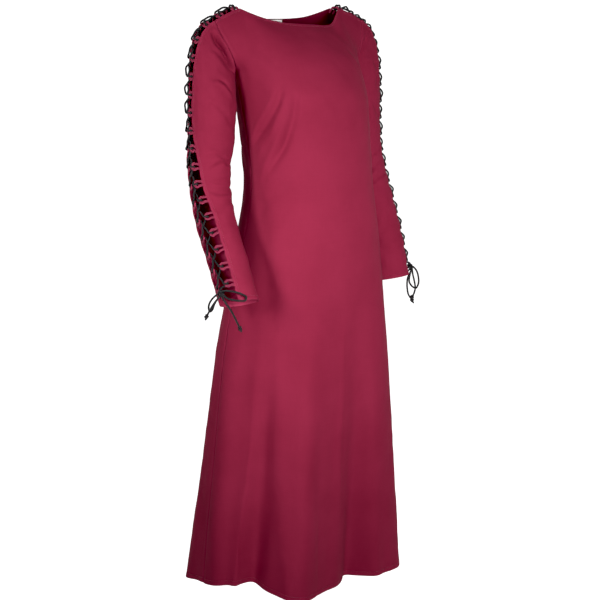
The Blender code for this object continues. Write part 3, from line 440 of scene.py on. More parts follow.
def panel_surface(front):
    us = edge_spaced(-1.0, 1.0, 187, SEAM_STEPS, SEAM_STEPS)
    hem_steps = [0.0, 0.0012, 0.0026, 0.0046, 0.0070, 0.0094, 0.0110, 0.0120, 0.0130, 0.0142, 0.0158, 0.0185, 0.0220]
    zs = edge_spaced(HEM_Z, UNDERARM_Z, 196, hem_steps, [])
    top_steps = [0.0, 0.007, 0.015, 0.024, 0.033, 0.040, 0.046, 0.052, 0.060, 0.070, 0.082]
    vs = edge_spaced(0.0, 1.0, 44, [], top_steps)[1:]
    rows = [body(90.0 * (1.0 - us) if front else 270.0 + 90.0 * us, z) for z in zs]
    columns = np.array([chest(u, vs, front) for u in us])
    grid = np.concatenate([np.array(rows), np.swapaxes(columns, 0, 1)])
    if grid.shape[0] % 2 == 0:
        grid = np.delete(grid, 120, axis=0)
    return grid


def sleeve_surface(side):
    slit_steps = [0.0, 0.004, 0.009, 0.015, 0.021, 0.026, 0.0295, 0.033, 0.038, 0.045]
    ts = edge_spaced(0.0, 1.0, 91, slit_steps, slit_steps)
    qs_cap = edge_spaced(0.0, 1.0, 58, [0.0, 0.008, 0.018, 0.030, 0.044, 0.060], [])
    cuff = [0.0, 0.0026, 0.0060, 0.0110, 0.0170, 0.0215, 0.0240, 0.0262, 0.0288, 0.0330, 0.0400]
    qs_arm = edge_spaced(0.0, 1.0, 176, [], cuff)[1:]
    cap = np.swapaxes(np.array([bezier(*cap_ends(side, t), qs_cap) for t in ts]), 0, 1)
    arm = np.array([arm_ring(side, w, ts) for w in qs_arm])
    grid = np.concatenate([cap, arm])
    if grid.shape[0] % 2 == 0:
        grid = np.delete(grid, 150, axis=0)
    return grid


def run_along(grid, axis, back=False):
    """Distance along the grid's lines from its first (or last) row or column."""
    g = grid if axis == 0 else np.swapaxes(grid, 0, 1)
    if back:
        g = g[::-1]
    d = np.concatenate([np.zeros((1, g.shape[1])), np.cumsum(np.linalg.norm(np.diff(g, axis=0), axis=2), axis=0)])
    if back:
        d = d[::-1]
    return d if axis == 0 else d.T


def grid_normals(grid, middle):
    n = unit(np.cross(np.gradient(grid, axis=1), np.gradient(grid, axis=0)))
    if np.median(((grid - middle) * n).sum(2)) < 0:
        n = -n
    return n


def fold_field(P, N, rows, place):
    """How far the folds of a table move each point along its normal."""
    total = np.zeros(P.shape[:2])
    flat, normals = P.reshape(-1, 3), N.reshape(-1, 3)
    for k, (width, depth, beside, side, places) in enumerate(rows):
        knots = np.array([place(*p) for p in places])
        t = np.linspace(0.0, 1.0, len(knots))
        fine = through(np.column_stack([t, knots]), np.linspace(0.0, 1.0, 6 * len(knots)))
        lo, hi = fine.min(0) - 5 * width, fine.max(0) + 5 * width
        near = np.where(((flat > lo) & (flat < hi)).all(1))[0]
        if not len(near):
            continue
        p, n = flat[near], normals[near]
        best = np.full(len(near), 1e9)
        away = np.zeros((len(near), 3))
        run = np.zeros(len(near))
        way = np.zeros((len(near), 3))
        for i in range(len(fine) - 1):
            a, b = fine[i], fine[i + 1]
            ab = b - a
            s = np.clip((p - a) @ ab / (ab @ ab), 0.0, 1.0)
            off = p - (a + s[:, None] * ab)
            d = np.linalg.norm(off, axis=1)
            take = d < best
            best[take], away[take], way[take] = d[take], off[take], unit(ab)
            run[take] = ((i + s) / (len(fine) - 1))[take]
        signed = best * np.sign((np.cross(way, n) * away).sum(1)) * side
        open_end = places[-1][1] <= -1.28
        taper = np.sin(np.pi * np.clip(run * (0.5 if open_end else 1.0), 0.0, 1.0)) ** 0.75
        taper = taper * (1.0 + 0.22 * np.sin(run * 9.0 + 1.7 * k))
        w = width * (0.80 + 0.35 * np.sin(np.pi * run))
        move = -depth * np.exp(-(best / w) ** 2)
        move = move + beside * np.exp(-((signed - 1.9 * w) / (1.15 * w)) ** 2)
        total.reshape(-1)[near] += move * taper
    return total


def shell(name, P, N, folds, bands, wear, uv, colour_slots):
    """A closed cloth wall: a fine outer layer, and an inner one at every second point."""
    base = P + N * folds[..., None]
    outer = base + N * (WALL / 2.0 + bands)[..., None]
    inner = (base - N * WALL / 2.0)[::2, ::2]
    R, C = outer.shape[:2]
    r, c = inner.shape[:2]
    verts = np.concatenate([outer.reshape(-1, 3), inner.reshape(-1, 3)])
    uvs = np.concatenate([uv.reshape(-1, 2), uv[::2, ::2].reshape(-1, 2)])
    worn = np.concatenate([wear.reshape(-1), wear[::2, ::2].reshape(-1) * 0.5])
    o = np.arange(R * C).reshape(R, C)
    q = R * C + np.arange(r * c).reshape(r, c)
    faces = []
    a = np.stack([o[:-1, :-1], o[:-1, 1:], o[1:, 1:], o[1:, :-1]], -1).reshape(-1, 4)
    b = np.stack([q[:-1, :-1], q[1:, :-1], q[1:, 1:], q[:-1, 1:]], -1).reshape(-1, 4)
    # the outer layer faces out
    p0, p1, p2 = verts[a[:, 0]], verts[a[:, 1]], verts[a[:, 2]]
    facing = (np.cross(p1 - p0, p2 - p1) * N[:-1, :-1].reshape(-1, 3)).sum()
    if facing < 0:
        a, b = a[:, ::-1], b[:, ::-1]
    faces = [tuple(f) for f in a.tolist()] + [tuple(f) for f in b.tolist()]
    outer_count = len(a)

    def border(line_o, line_q):
        out = []
        for k in range(len(line_q) - 1):
            out.append((line_o[2 * k + 2], line_o[2 * k + 1], line_o[2 * k], line_q[k], line_q[k + 1]))
        return out

    rim = (border(o[0], q[0]) + border(o[:, -1], q[:, -1])
           + border(o[-1][::-1], q[-1][::-1]) + border(o[:, 0][::-1], q[:, 0][::-1]))
    if facing < 0:
        rim = [f[::-1] for f in rim]
    faces += [tuple(int(i) for i in f) for f in rim]
    mesh = bpy.data.meshes.new(name)
    mesh.from_pydata(verts.tolist(), [], faces)
    mesh.update()
    mesh.shade_smooth()
    layer = mesh.uv_layers.new(name="UVMap")
    index = np.zeros(len(mesh.loops), np.int32)
    mesh.loops.foreach_get("vertex_index", index)
    layer.data.foreach_set("uv", uvs[index].astype(np.float32).reshape(-1))
    attr = mesh.attributes.new("wear", "FLOAT", "POINT")
    attr.data.foreach_set("value", np.clip(worn, 0.0, 1.0).astype(np.float32))
    slots = np.zeros(len(faces), np.int32)
    slots[outer_count:outer_count + len(b)] = 1
    for m in colour_slots:
        mesh.materials.append(m)
    mesh.polygons.foreach_set("material_index", slots)
    mesh.set_sharp_from_angle(angle=np.radians(60.0))
    obj = bpy.data.objects.new(name, mesh)
    bpy.context.scene.collection.objects.link(obj)
    return obj, outer, base


def surface_area(grid):
    a = np.linalg.norm(np.cross(grid[1:, 1:] - grid[:-1, :-1], grid[1:, :-1] - grid[:-1, 1:]), axis=2) / 2
    return float(a.sum())


# ---------------------------------------------------------------- lacing frame
class Slit:
    """Directions and distances along one sleeve's slit, and the cloth beside it."""

    def __init__(self, side):
        self.side = side
        self.p = np.linspace(0.0, 3.0, 301)
        edge = {True: [], False: []}
        into = {True: [], False: []}
        for front in (True, False):
            for p in self.p:
                if p <= 1.0:
                    u = side * (0.75 + 0.25 * p)
                    e, i = chest(u, 1.0, front), chest(u, 0.955, front)
                else:
                    t, ti = (0.0, 0.025) if front else (1.0, 0.975)
                    e, i = sleeve_place(side, p - 1.0, t), sleeve_place(side, p - 1.0, ti)
                edge[front].append(e)
                into[front].append(unit(i - e))
        self.front, self.back = np.array(edge[True]), np.array(edge[False])
        self.into = {k: np.array(v) for k, v in into.items()}
        mid = (self.front + self.back) / 2.0
        self.s = np.concatenate([[0.0], np.cumsum(np.linalg.norm(np.diff(mid, axis=0), axis=1))])
        self.length = self.s[-1]

    def take(self, rows, d):
        return np.array([np.interp(d, self.s, rows[:, k]) for k in range(3)])

    def at(self, s):
        f, b = self.take(self.front, s), self.take(self.back, s)
        lo, hi = max(s - 0.010, 0.0), min(s + 0.010, self.length)
        mid = (f + b) / 2.0
        axis = unit((self.take(self.front, hi) + self.take(self.back, hi)
                     - self.take(self.front, lo) - self.take(self.back, lo)) / 2.0)
        across = f - b
        across = unit(across - axis * np.dot(across, axis))
        out = np.cross(axis, across) * (-1.0 if self.side > 0 else 1.0)
        return mid, axis, out, across, np.dot(f - b, across) / 2.0

    def point(self, s, across, out):
        mid, _, n, a, _ = self.at(s)
        return mid + a * across + n * out

    def cloth(self, s, front):
        """The cloth's edge, the direction into the cloth, and the cloth's outward normal."""
        e = self.take(self.front if front else self.back, s)
        i = unit(self.take(self.into[front], s))
        n = self.at(s)[2]
        return e, i, unit(n - i * np.dot(n, i))


def rung_places(slit):
    return np.linspace(0.010, slit.length - LACED_TO[slit.side], RUNGS)


def loop_reach(slit, s):
    half = slit.at(s)[4]
    lean = np.radians(LOOP_LEAN)
    room = (half - LOOP_CLEAR - LACE_CLEAR - 0.0053 * np.sin(lean)) / np.cos(lean) - 0.0015
    return min(room, LOOP_OUT)


def lift_at(slit, s):
    low, high = LIFT[slit.side]
    return low + (high - low) * float(smooth((s / slit.length - 0.55) / 0.25))


def spline(points, step, power=0.5):
    """A smooth curve through points (centripetal), sampled about every step metres."""
    P = np.asarray(points, float)
    keep = np.concatenate([[True], np.linalg.norm(np.diff(P, axis=0), axis=1) > 1e-6])
    P = P[keep]
    P = np.concatenate([[2 * P[0] - P[1]], P, [2 * P[-1] - P[-2]]])
    out = []
    for i in range(1, len(P) - 2):
        p0, p1, p2, p3 = P[i - 1:i + 3]
        t0 = 0.0
        t1 = t0 + np.linalg.norm(p1 - p0) ** power
        t2 = t1 + np.linalg.norm(p2 - p1) ** power
        t3 = t2 + np.linalg.norm(p3 - p2) ** power
        t = np.linspace(t1, t2, 14, endpoint=False)[:, None]
        a1 = (t1 - t) / (t1 - t0) * p0 + (t - t0) / (t1 - t0) * p1
        a2 = (t2 - t) / (t2 - t1) * p1 + (t - t1) / (t2 - t1) * p2
        a3 = (t3 - t) / (t3 - t2) * p2 + (t - t2) / (t3 - t2) * p3
        b1 = (t2 - t) / (t2 - t0) * a1 + (t - t0) / (t2 - t0) * a2
        b2 = (t3 - t) / (t3 - t1) * a2 + (t - t1) / (t3 - t1) * a3
        out.append((t2 - t) / (t2 - t1) * b1 + (t - t1) / (t2 - t1) * b2)
    fine = np.concatenate(out + [P[-2][None]])
    run = np.concatenate([[0.0], np.cumsum(np.linalg.norm(np.diff(fine, axis=0), axis=1))])
    at = np.linspace(0.0, run[-1], max(int(round(run[-1] / step)), 4) + 1)
    return np.column_stack([np.interp(at, run, fine[:, k]) for k in range(3)])


def length_of(line):
    return float(np.linalg.norm(np.diff(line, axis=0), axis=1).sum())


def tube_data(path, radius, sides, flat=None, up=None, start=0.0):
    """Vertices, faces and uv of a round tube with domed ends. uv is metres along and turns round."""
    path = np.asarray(path, float)
    n = len(path)
    t = unit(np.gradient(path, axis=0))
    radius = np.broadcast_to(np.asarray(radius, float), (n,)).copy()
    wide = radius if flat is None else np.broadcast_to(np.asarray(flat, float), (n,)).copy()
    ref = np.zeros((n, 3))
    first = np.cross(t[0], (0.3, 0.5, 0.8)) if up is None else up[0]
    ref[0] = unit(first - t[0] * np.dot(first, t[0]))
    for i in range(1, n):
        v = ref[i - 1] if up is None else up[i]
        ref[i] = unit(v - t[i] * np.dot(v, t[i]))
    other = np.cross(t, ref)
    angle = np.linspace(0.0, 2.0 * np.pi, sides, endpoint=False)
    verts, uv = [], []
    run = start + np.concatenate([[0.0], np.cumsum(np.linalg.norm(np.diff(path, axis=0), axis=1))])
    scale = [1.0] * n
    shift = np.zeros(n)
    centre = path.copy()
    # domed ends
    extra0 = [(0.35, -0.80), (0.80, -0.45)]
    rings = []
    for k, back in extra0:
        rings.append((path[0] + t[0] * back * radius[0], ref[0], other[0], radius[0] * k, wide[0] * k, run[0]))
    for i in range(n):
        rings.append((centre[i], ref[i], other[i], radius[i], wide[i], run[i]))
    for k, fwd in ((0.80, 0.45), (0.35, 0.80)):
        rings.append((path[-1] + t[-1] * fwd * radius[-1], ref[-1], other[-1], radius[-1] * k, wide[-1] * k, run[-1]))
    for c0, a, b, ra, rb, s in rings:
        verts.append(c0 + np.cos(angle)[:, None] * a * ra + np.sin(angle)[:, None] * b * rb)
        uv.append(np.column_stack([np.full(sides, s), angle / (2.0 * np.pi)]))
    m = len(rings)
    verts = np.concatenate(verts)
    uv = np.concatenate(uv)
    idx = np.arange(m * sides).reshape(m, sides)
    nxt = np.roll(idx, -1, axis=1)
    faces = np.stack([idx[:-1], nxt[:-1], nxt[1:], idx[1:]], -1).reshape(-1, 4).tolist()
    caps = [idx[0][::-1].tolist(), idx[-1].tolist()]
    return verts, faces + caps, uv


def join_meshes(name, parts, material, wear=0.3):
    """One object from several (verts, faces, uv) sets."""
    verts, faces, uvs, at = [], [], [], 0
    for v, f, w in parts:
        verts.append(v)
        uvs.append(w)
        faces += [[i + at for i in g] for g in f]
        at += len(v)
    verts, uvs = np.concatenate(verts), np.concatenate(uvs)
    mesh = bpy.data.meshes.new(name)
    mesh.from_pydata(verts.tolist(), [], faces)
    mesh.update()
    mesh.shade_smooth()
    layer = mesh.uv_layers.new(name="UVMap")
    index = np.zeros(len(mesh.loops), np.int32)
    mesh.loops.foreach_get("vertex_index", index)
    pick = uvs[index]
    starts = np.zeros(len(mesh.polygons), np.int32)
    totals = np.zeros(len(mesh.polygons), np.int32)
    mesh.polygons.foreach_get("loop_start", starts)
    mesh.polygons.foreach_get("loop_total", totals)
    quads = starts[totals == 4]
    if len(quads):
        loops = quads[:, None] + np.arange(4)
        v = pick[loops, 1]
        v = np.where((v.max(1, keepdims=True) - v.min(1, keepdims=True) > 0.5) & (v < 0.25), v + 1.0, v)
        pick[loops, 1] = v
    layer.data.foreach_set("uv", pick.astype(np.float32).reshape(-1))
    attr = mesh.attributes.new("wear", "FLOAT", "POINT")
    attr.data.foreach_set("value", np.full(len(verts), wear, np.float32))
    mesh.materials.append(material)
    bm = bmesh.new()
    bm.from_mesh(mesh)
    bmesh.ops.recalc_face_normals(bm, faces=bm.faces)
    bm.to_mesh(mesh)
    bm.free()
    obj = bpy.data.objects.new(name, mesh)
    bpy.context.scene.collection.objects.link(obj)
    return obj


# ---------------------------------------------------------------- materials
class Nodes:
    """Short ways to lay shader nodes."""

    def __init__(self, name):
        self.mat = bpy.data.materials.new(name)
        self.mat.use_nodes = True
        self.tree = self.mat.node_tree
        self.shader = self.tree.nodes["Principled BSDF"]

    def link(self, a, b):
        self.tree.links.new(a, b)

    def math(self, how, a, b=None, c=None):
        n = self.tree.nodes.new("ShaderNodeMath")
        n.operation = how
        for k, v in enumerate((a, b, c)):
            if v is None:
                continue
            if isinstance(v, (int, float)):
                n.inputs[k].default_value = float(v)
            else:
                self.link(v, n.inputs[k])
        return n.outputs[0]

    def uv(self):
        n = self.tree.nodes.new("ShaderNodeUVMap")
        n.uv_map = "UVMap"
        s = self.tree.nodes.new("ShaderNodeSeparateXYZ")
        self.link(n.outputs[0], s.inputs[0])
        return n.outputs[0], s.outputs[0], s.outputs[1]

    def place(self):
        n = self.tree.nodes.new("ShaderNodeTexCoord")
        return n.outputs["Object"]

    def scaled(self, vector, x, y, z):
        n = self.tree.nodes.new("ShaderNodeVectorMath")
        n.operation = "MULTIPLY"
        self.link(vector, n.inputs[0])
        n.inputs[1].default_value = (x, y, z)
        return n.outputs[0]

    def noise(self, vector, scale, detail=3.0, rough=0.55):
        n = self.tree.nodes.new("ShaderNodeTexNoise")
        n.inputs["Scale"].default_value = scale
        n.inputs["Detail"].default_value = detail
        n.inputs["Roughness"].default_value = rough
        self.link(vector, n.inputs["Vector"])
        return n.outputs[0]

    def attribute(self, name):
        n = self.tree.nodes.new("ShaderNodeAttribute")
        n.attribute_name = name
        return n.outputs["Fac"]

    def mix(self, fac, a, b):
        n = self.tree.nodes.new("ShaderNodeMix")
        n.data_type = "RGBA"
        if isinstance(fac, (int, float)):
            n.inputs[0].default_value = float(fac)
        else:
            self.link(fac, n.inputs[0])
        for k, v in ((6, a), (7, b)):
            if isinstance(v, tuple):
                n.inputs[k].default_value = (*v, 1.0)
            else:
                self.link(v, n.inputs[k])
        return n.outputs[2]

    def remap(self, value, a, b, c, d):
        n = self.tree.nodes.new("ShaderNodeMapRange")
        self.link(value, n.inputs[0])
        for k, v in zip((1, 2, 3, 4), (a, b, c, d)):
            n.inputs[k].default_value = v
        return n.outputs[0]

    def bump(self, height, strength, distance, normal=None):
        n = self.tree.nodes.new("ShaderNodeBump")
        n.inputs["Strength"].default_value = strength
        n.inputs["Distance"].default_value = distance
        self.link(height, n.inputs["Height"])
        if normal is not None:
            self.link(normal, n.inputs["Normal"])
        return n.outputs[0]

    def set(self, **values):
        for name, v in values.items():
            socket = self.shader.inputs[name.replace("_", " ")]
            if isinstance(v, (int, float)):
                socket.default_value = v
            elif isinstance(v, tuple):
                socket.default_value = (*v, 1.0)
            else:
                self.link(v, socket)


def canvas_material(name, colour, dark, light, sheen, pitch=0.00062):
    m = Nodes(name)
    vector, u, v = m.uv()
    k = 2.0 * np.pi / pitch
    warp = m.math("SINE", m.math("MULTIPLY", u, k))
    weft = m.math("SINE", m.math("MULTIPLY", v, k * 0.86))
    weave = m.math("MULTIPLY", warp, weft)
    slub_v = m.noise(m.scaled(vector, 420.0, 26.0, 1.0), 1.0, 2.0)
    slub_u = m.noise(m.scaled(vector, 22.0, 380.0, 1.0), 1.0, 2.0)
    slub = m.math("ADD", slub_v, slub_u)
    cloud = m.noise(m.place(), 9.0, 4.0, 0.6)
    fine = m.noise(vector, 260.0, 3.0, 0.65)
    tone = m.math("ADD", m.math("MULTIPLY", cloud, 0.55), m.math("MULTIPLY", slub, 0.18))
    tone = m.math("ADD", tone, m.math("MULTIPLY", fine, 0.12))
    base = m.mix(m.remap(tone, 0.36, 0.68, 0.0, 1.0), dark, colour)
    worn = m.math("MULTIPLY", m.attribute("wear"), m.remap(fine, 0.30, 0.70, 0.35, 1.0))
    base = m.mix(m.math("MULTIPLY", worn, 0.55), base, light)
    # painted shade: the valleys between yarns are a little darker
    base = m.mix(m.remap(weave, -1.0, 1.0, 0.10, 0.0), base, (dark[0] * 0.35, dark[1] * 0.35, dark[2] * 0.35))
    rough = m.math("ADD", m.remap(fine, 0.3, 0.7, 0.80, 0.92), m.math("MULTIPLY", m.attribute("wear"), -0.05))
    first = m.bump(m.math("ADD", m.math("MULTIPLY", slub, 1.0), m.math("MULTIPLY", fine, 0.7)), 0.35, 0.00035)
    second = m.bump(weave, 0.30, 0.00014, first)
    m.set(Base_Color=base, Roughness=rough, Normal=second)
    m.set(Specular_IOR_Level=0.035, Sheen_Weight=sheen, Sheen_Roughness=0.45)
    m.shader.inputs["Sheen Tint"].default_value = (1.0, 0.62, 0.70, 1.0)
    return m.mat


def cord_cloth_material(name, colour, dark, light):
    """Cloth cut on the bias and sewn to a round cord, with the seam along one side."""
    m = Nodes(name)
    vector, u, v = m.uv()
    a = m.math("ADD", m.math("MULTIPLY", u, 2.0 * np.pi / 0.0009), m.math("MULTIPLY", v, 2.0 * np.pi * 12.0))
    b = m.math("SUBTRACT", m.math("MULTIPLY", u, 2.0 * np.pi / 0.0009), m.math("MULTIPLY", v, 2.0 * np.pi * 12.0))
    weave = m.math("MULTIPLY", m.math("SINE", a), m.math("SINE", b))
    seam = m.math("POWER", m.math("ABSOLUTE", m.math("COSINE", m.math("MULTIPLY", v, np.pi))), 40.0)
    pucker = m.math("MULTIPLY", seam, m.math("SINE", m.math("MULTIPLY", u, 2.0 * np.pi / 0.0024)))
    fine = m.noise(m.place(), 420.0, 3.0, 0.6)
    base = m.mix(m.remap(fine, 0.32, 0.68, 0.0, 1.0), dark, colour)
    base = m.mix(m.math("MULTIPLY", m.remap(fine, 0.45, 0.70, 0.0, 1.0), 0.45), base, light)
    base = m.mix(m.math("MULTIPLY", seam, 0.45), base, (dark[0] * 0.3, dark[1] * 0.3, dark[2] * 0.3))
    height = m.math("ADD", m.math("MULTIPLY", weave, 0.4), m.math("MULTIPLY", pucker, 0.6))
    height = m.math("SUBTRACT", height, m.math("MULTIPLY", seam, 1.0))
    m.set(Base_Color=base, Roughness=m.remap(fine, 0.3, 0.7, 0.72, 0.88), Normal=m.bump(height, 0.5, 0.00022))
    m.set(Specular_IOR_Level=0.14, Sheen_Weight=0.12, Sheen_Roughness=0.45)
    m.shader.inputs["Sheen Tint"].default_value = (1.0, 0.62, 0.70, 1.0)
    return m.mat


def lace_material(name):
    """Round braid: yarns crossing in both directions."""
    m = Nodes(name)
    vector, u, v = m.uv()
    a = m.math("ADD", m.math("MULTIPLY", u, 2.0 * np.pi / 0.0030), m.math("MULTIPLY", v, 2.0 * np.pi * 4.0))
    b = m.math("SUBTRACT", m.math("MULTIPLY", u, 2.0 * np.pi / 0.0030), m.math("MULTIPLY", v, 2.0 * np.pi * 4.0))
    over = m.math("MAXIMUM", m.math("SINE", a), m.math("SINE", b))
    fine = m.noise(m.place(), 900.0, 3.0, 0.65)
    worn = m.noise(m.place(), 55.0, 2.0, 0.5)
    # painted shade: the braid is darker where its yarns dip under the others and lighter where they lie on top
    base = m.mix(m.remap(over, -0.2, 1.0, 0.0, 1.0), (0.0040, 0.0036, 0.0040), (0.0150, 0.0136, 0.0145))
    base = m.mix(m.math("MULTIPLY", m.remap(fine, 0.52, 0.75, 0.0, 1.0), m.remap(worn, 0.4, 0.7, 0.10, 0.55)),
                 base, (0.034, 0.030, 0.032))
    height = m.math("ADD", over, m.math("MULTIPLY", fine, 0.35))
    m.set(Base_Color=base, Roughness=m.remap(fine, 0.3, 0.7, 0.50, 0.70), Normal=m.bump(height, 0.7, 0.00030))
    m.set(Specular_IOR_Level=0.22, Sheen_Weight=0.06, Sheen_Roughness=0.4)
    return m.mat


def label_material(name):
    m = Nodes(name)
    vector, u, v = m.uv()
    rib = m.math("SINE", m.math("MULTIPLY", v, 2.0 * np.pi / 0.0007))
    warp = m.math("SINE", m.math("MULTIPLY", u, 2.0 * np.pi / 0.0005))
    weave = m.math("MULTIPLY", rib, warp)
    fine = m.noise(m.place(), 300.0, 3.0)
    base = m.mix(m.remap(fine, 0.3, 0.7, 0.0, 1.0), (0.70, 0.70, 0.67), (0.86, 0.86, 0.84))
    base = m.mix(m.math("MULTIPLY", m.attribute("wear"), 0.30), base, (0.60, 0.57, 0.52))
    m.set(Base_Color=base, Roughness=m.remap(fine, 0.3, 0.7, 0.42, 0.60),
          Normal=m.bump(m.math("ADD", weave, rib), 0.35, 0.00015))
    m.set(Specular_IOR_Level=0.45, Sheen_Weight=0.10)
    return m.mat


def thread_material(name, colour, dark):
    m = Nodes(name)
    vector, u, v = m.uv()
    twist = m.math("SINE", m.math("ADD", m.math("MULTIPLY", u, 2.0 * np.pi / 0.0007), m.math("MULTIPLY", v, 2.0 * np.pi)))
    fine = m.noise(m.place(), 500.0, 2.0)
    base = m.mix(m.remap(fine, 0.3, 0.7, 0.0, 1.0), dark, colour)
    m.set(Base_Color=base, Roughness=m.remap(fine, 0.3, 0.7, 0.45, 0.62), Normal=m.bump(twist, 0.6, 0.00012))
    m.set(Specular_IOR_Level=0.45, Sheen_Weight=0.15)
    return m.mat


WINE = (0.204, 0.0195, 0.0440)
WINE_DARK = (0.170, 0.0152, 0.0345)
WINE_LIGHT = (0.284, 0.0330, 0.0730)
CANVAS = canvas_material("canvas", WINE, WINE_DARK, WINE_LIGHT, 0.012)
# painted shade: the inner faces of the body panels get a darker copy of the canvas, for the shade inside the dress
SHADED_INSIDE = canvas_material("canvas_inside_painted_shade", (0.104, 0.0092, 0.0215), (0.084, 0.0070, 0.0165), (0.135, 0.0140, 0.0310), 0.01)
# painted light: the inner faces of the sleeves get a lighter copy of the canvas, for light reaching into the laced
# slits
LIT_SLEEVE_INSIDE = canvas_material("canvas_sleeve_inside_painted_light", (0.310, 0.0350, 0.0760), (0.240, 0.0260, 0.0570), (0.390, 0.0500, 0.1050), 0.01)
LOOP_CLOTH = cord_cloth_material("loop_cloth", (0.250, 0.0270, 0.0620), (0.175, 0.0165, 0.0400), (0.370, 0.0600, 0.1180))
BRAID = lace_material("lace_braid")
STRIP = label_material("label_cloth")
THREAD = thread_material("thread", (0.160, 0.0100, 0.0300), (0.100, 0.0060, 0.0190))
PALE_THREAD = thread_material("pale_thread", (0.80, 0.80, 0.77), (0.62, 0.62, 0.60))


# ---------------------------------------------------------------- laces and bows
def local_at(slit, s, way, reach, off, loop):
    lean = np.radians(LOOP_LEAN)
    half = slit.at(s)[4]
    reach = loop_reach(slit, loop) + reach
    across = half - LOOP_CLEAR - reach * np.cos(lean) + off * np.sin(lean)
    return slit.point(s, way * across, reach * np.sin(lean) + off * np.cos(lean))


def lace_route(slit, first_front, seed):
    """One half of the lace, from the bar at the neck through every second loop to the knot."""
    rng = np.random.default_rng(seed)
    places = rung_places(slit)
    pitch = places[1] - places[0]
    over = 1.0 if first_front else -1.0
    way = 1.0 if first_front else -1.0
    first = places[0]
    pts = [slit.point(first, way * 0.00025, 0.0101),
           local_at(slit, first, way, 0.0015, 0.0058, first),
           local_at(slit, first, way, -0.0064, 0.0, first)]
    for k, s in enumerate(places[:-1]):
        level = over * (1.0 if k % 2 == 0 else -1.0)
        pts.append(local_at(slit, s + 0.0014, way, 0.0016, -0.0048, s))
        slack = SLACK[slit.side][k]
        lift = lift_at(slit, s + pitch * 0.5) + LIFT_GAP * (1.25 * slack - 0.45)
        if level < 0:
            lift -= 0.0056 + 0.0012 * slack
        slip = rng.uniform(-0.0016, 0.0016) + (0.0022 * slack if level > 0 else -0.0010)
        pts.append(slit.point(s + pitch * 0.30 + slip, way * 0.0046, lift * 0.70))
        pts.append(slit.point(s + pitch * 0.5 + slip, 0.0, lift))
        way = -way
        nxt = places[k + 1]
        pts.append(slit.point(s + pitch * 0.72 + slip, way * 0.0048, lift * 0.80 + 0.0010))
        pts.append(local_at(slit, nxt - 0.0012, way, 0.0015, 0.0050, nxt))
        pts.append(local_at(slit, nxt, way, -0.0064, 0.0, nxt))
    pts.append(local_at(slit, places[-1] + 0.0012, way, 0.0015, -0.0053, places[-1]))
    return pts, way


def bow_frame(slit):
    s = rung_places(slit)[-1] + 0.0165
    _, axis, out, across, _ = slit.at(min(s, slit.length))
    return slit.point(min(s, slit.length), 0.0, lift_at(slit, s) + KNOT_OUT), axis, out, across


def tied(name, centre, axes, sizes, thick, turn, material):
    """A tied knot: one strand drawn up into a tight three-lobed turn round itself."""
    t = np.linspace(0.0, 2.0 * np.pi, 84, endpoint=False)
    x = (np.sin(t) + 2.0 * np.sin(2.0 * t)) / 3.0
    y = (np.cos(t) - 2.0 * np.cos(2.0 * t)) / 3.0
    z = -np.sin(3.0 * t)
    c, s = np.cos(turn), np.sin(turn)
    x, y = x * c - y * s, x * s + y * c
    reach = [max(k - thick * 0.5, thick * 0.55) for k in sizes]
    path = np.array([centre + axes[0] * reach[0] * a + axes[2] * reach[2] * b + axes[1] * reach[1] * g
                     for a, b, g in zip(x, y, z)])
    path = np.concatenate([path, path[:2]])
    parts = [tube_data(path, thick / 2.0, 10)]
    # the strands that run through the middle
    core = np.array([centre - axes[2] * sizes[2] * 0.8 + axes[0] * 0.0006, centre + axes[1] * sizes[1] * 0.15,
                     centre + axes[2] * sizes[2] * 0.8 - axes[0] * 0.0006])
    parts.append(tube_data(spline(core, thick * 0.4), thick * 0.62, 10))
    return join_meshes(name, parts, material)


CORDS = []
SLITS = {}
for side, word, bows in ((-1.0, "right", BOW_RIGHT), (1.0, "left", BOW_LEFT)):
    slit = Slit(side)
    SLITS[word] = slit
    centre, axis, out, across = bow_frame(slit)
    knot = tied(f"knot_{word}", centre, (across, out, axis), (0.0084, 0.0066, 0.0080), LACE, 0.4, BRAID)
    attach(knot, "root")
    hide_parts(f"bow_{word}_knot")
    for letter, first, number in (("a", True, "1"), ("b", False, "2")):
        route, way = lace_route(slit, first, 11 if word == "right" else 23)
        route.append(centre + across * way * 0.0028 - axis * (KNOT[2] + 0.0026) - out * 0.0010)
        hand = 1.0 if number == "1" else -1.0
        route.append(centre + across * way * 0.0012 - axis * 0.0015 + out * 0.0016)
        loop = [centre + across * a + out * o + axis * d for a, o, d in bows[f"loop_{number}"]]
        end = [centre + across * a + out * o + axis * d for a, o, d in bows[f"end_{number}"]]
        route += loop
        route.append(centre + across * hand * 0.0012 + axis * 0.0022 - out * 0.0014)
        route.append(centre - across * hand * 0.0018 + axis * 0.0002 + out * 0.0024)
        route += end
        go = unit(end[-1] - end[-2])
        tail = end[-1] + go * (TIP * 1.25 + 0.0006)
        route.append(tail)
        route.append(tail + unit(go + axis * 0.35) * 0.0085)
        line = spline(route, 0.00165)
        long = length_of(line)
        data = tube_data(line, LACE / 2.0, 10)
        lace = join_meshes(f"lace_cord_{word}_{letter}", [data], BRAID)
        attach(lace, "root")
        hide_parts(f"lace_{word}_{letter}", f"bow_{word}_loop_{number}", f"bow_{word}_end_{number}")
        tip = tied(f"end_knot_{word}_{number}", tail, (across, out, axis), (0.0052, 0.0048, 0.0056), 0.0030,
                   1.1 if number == "1" else 2.3, BRAID)
        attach(tip, "root")
        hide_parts(f"bow_{word}_tip_{number}")
        CORDS.append((lace, line, long, [tip, knot] if letter == "a" else [tip]))

for lace, line, long, on_it in CORDS:
    print("lace", lace.name, round(long, 4))


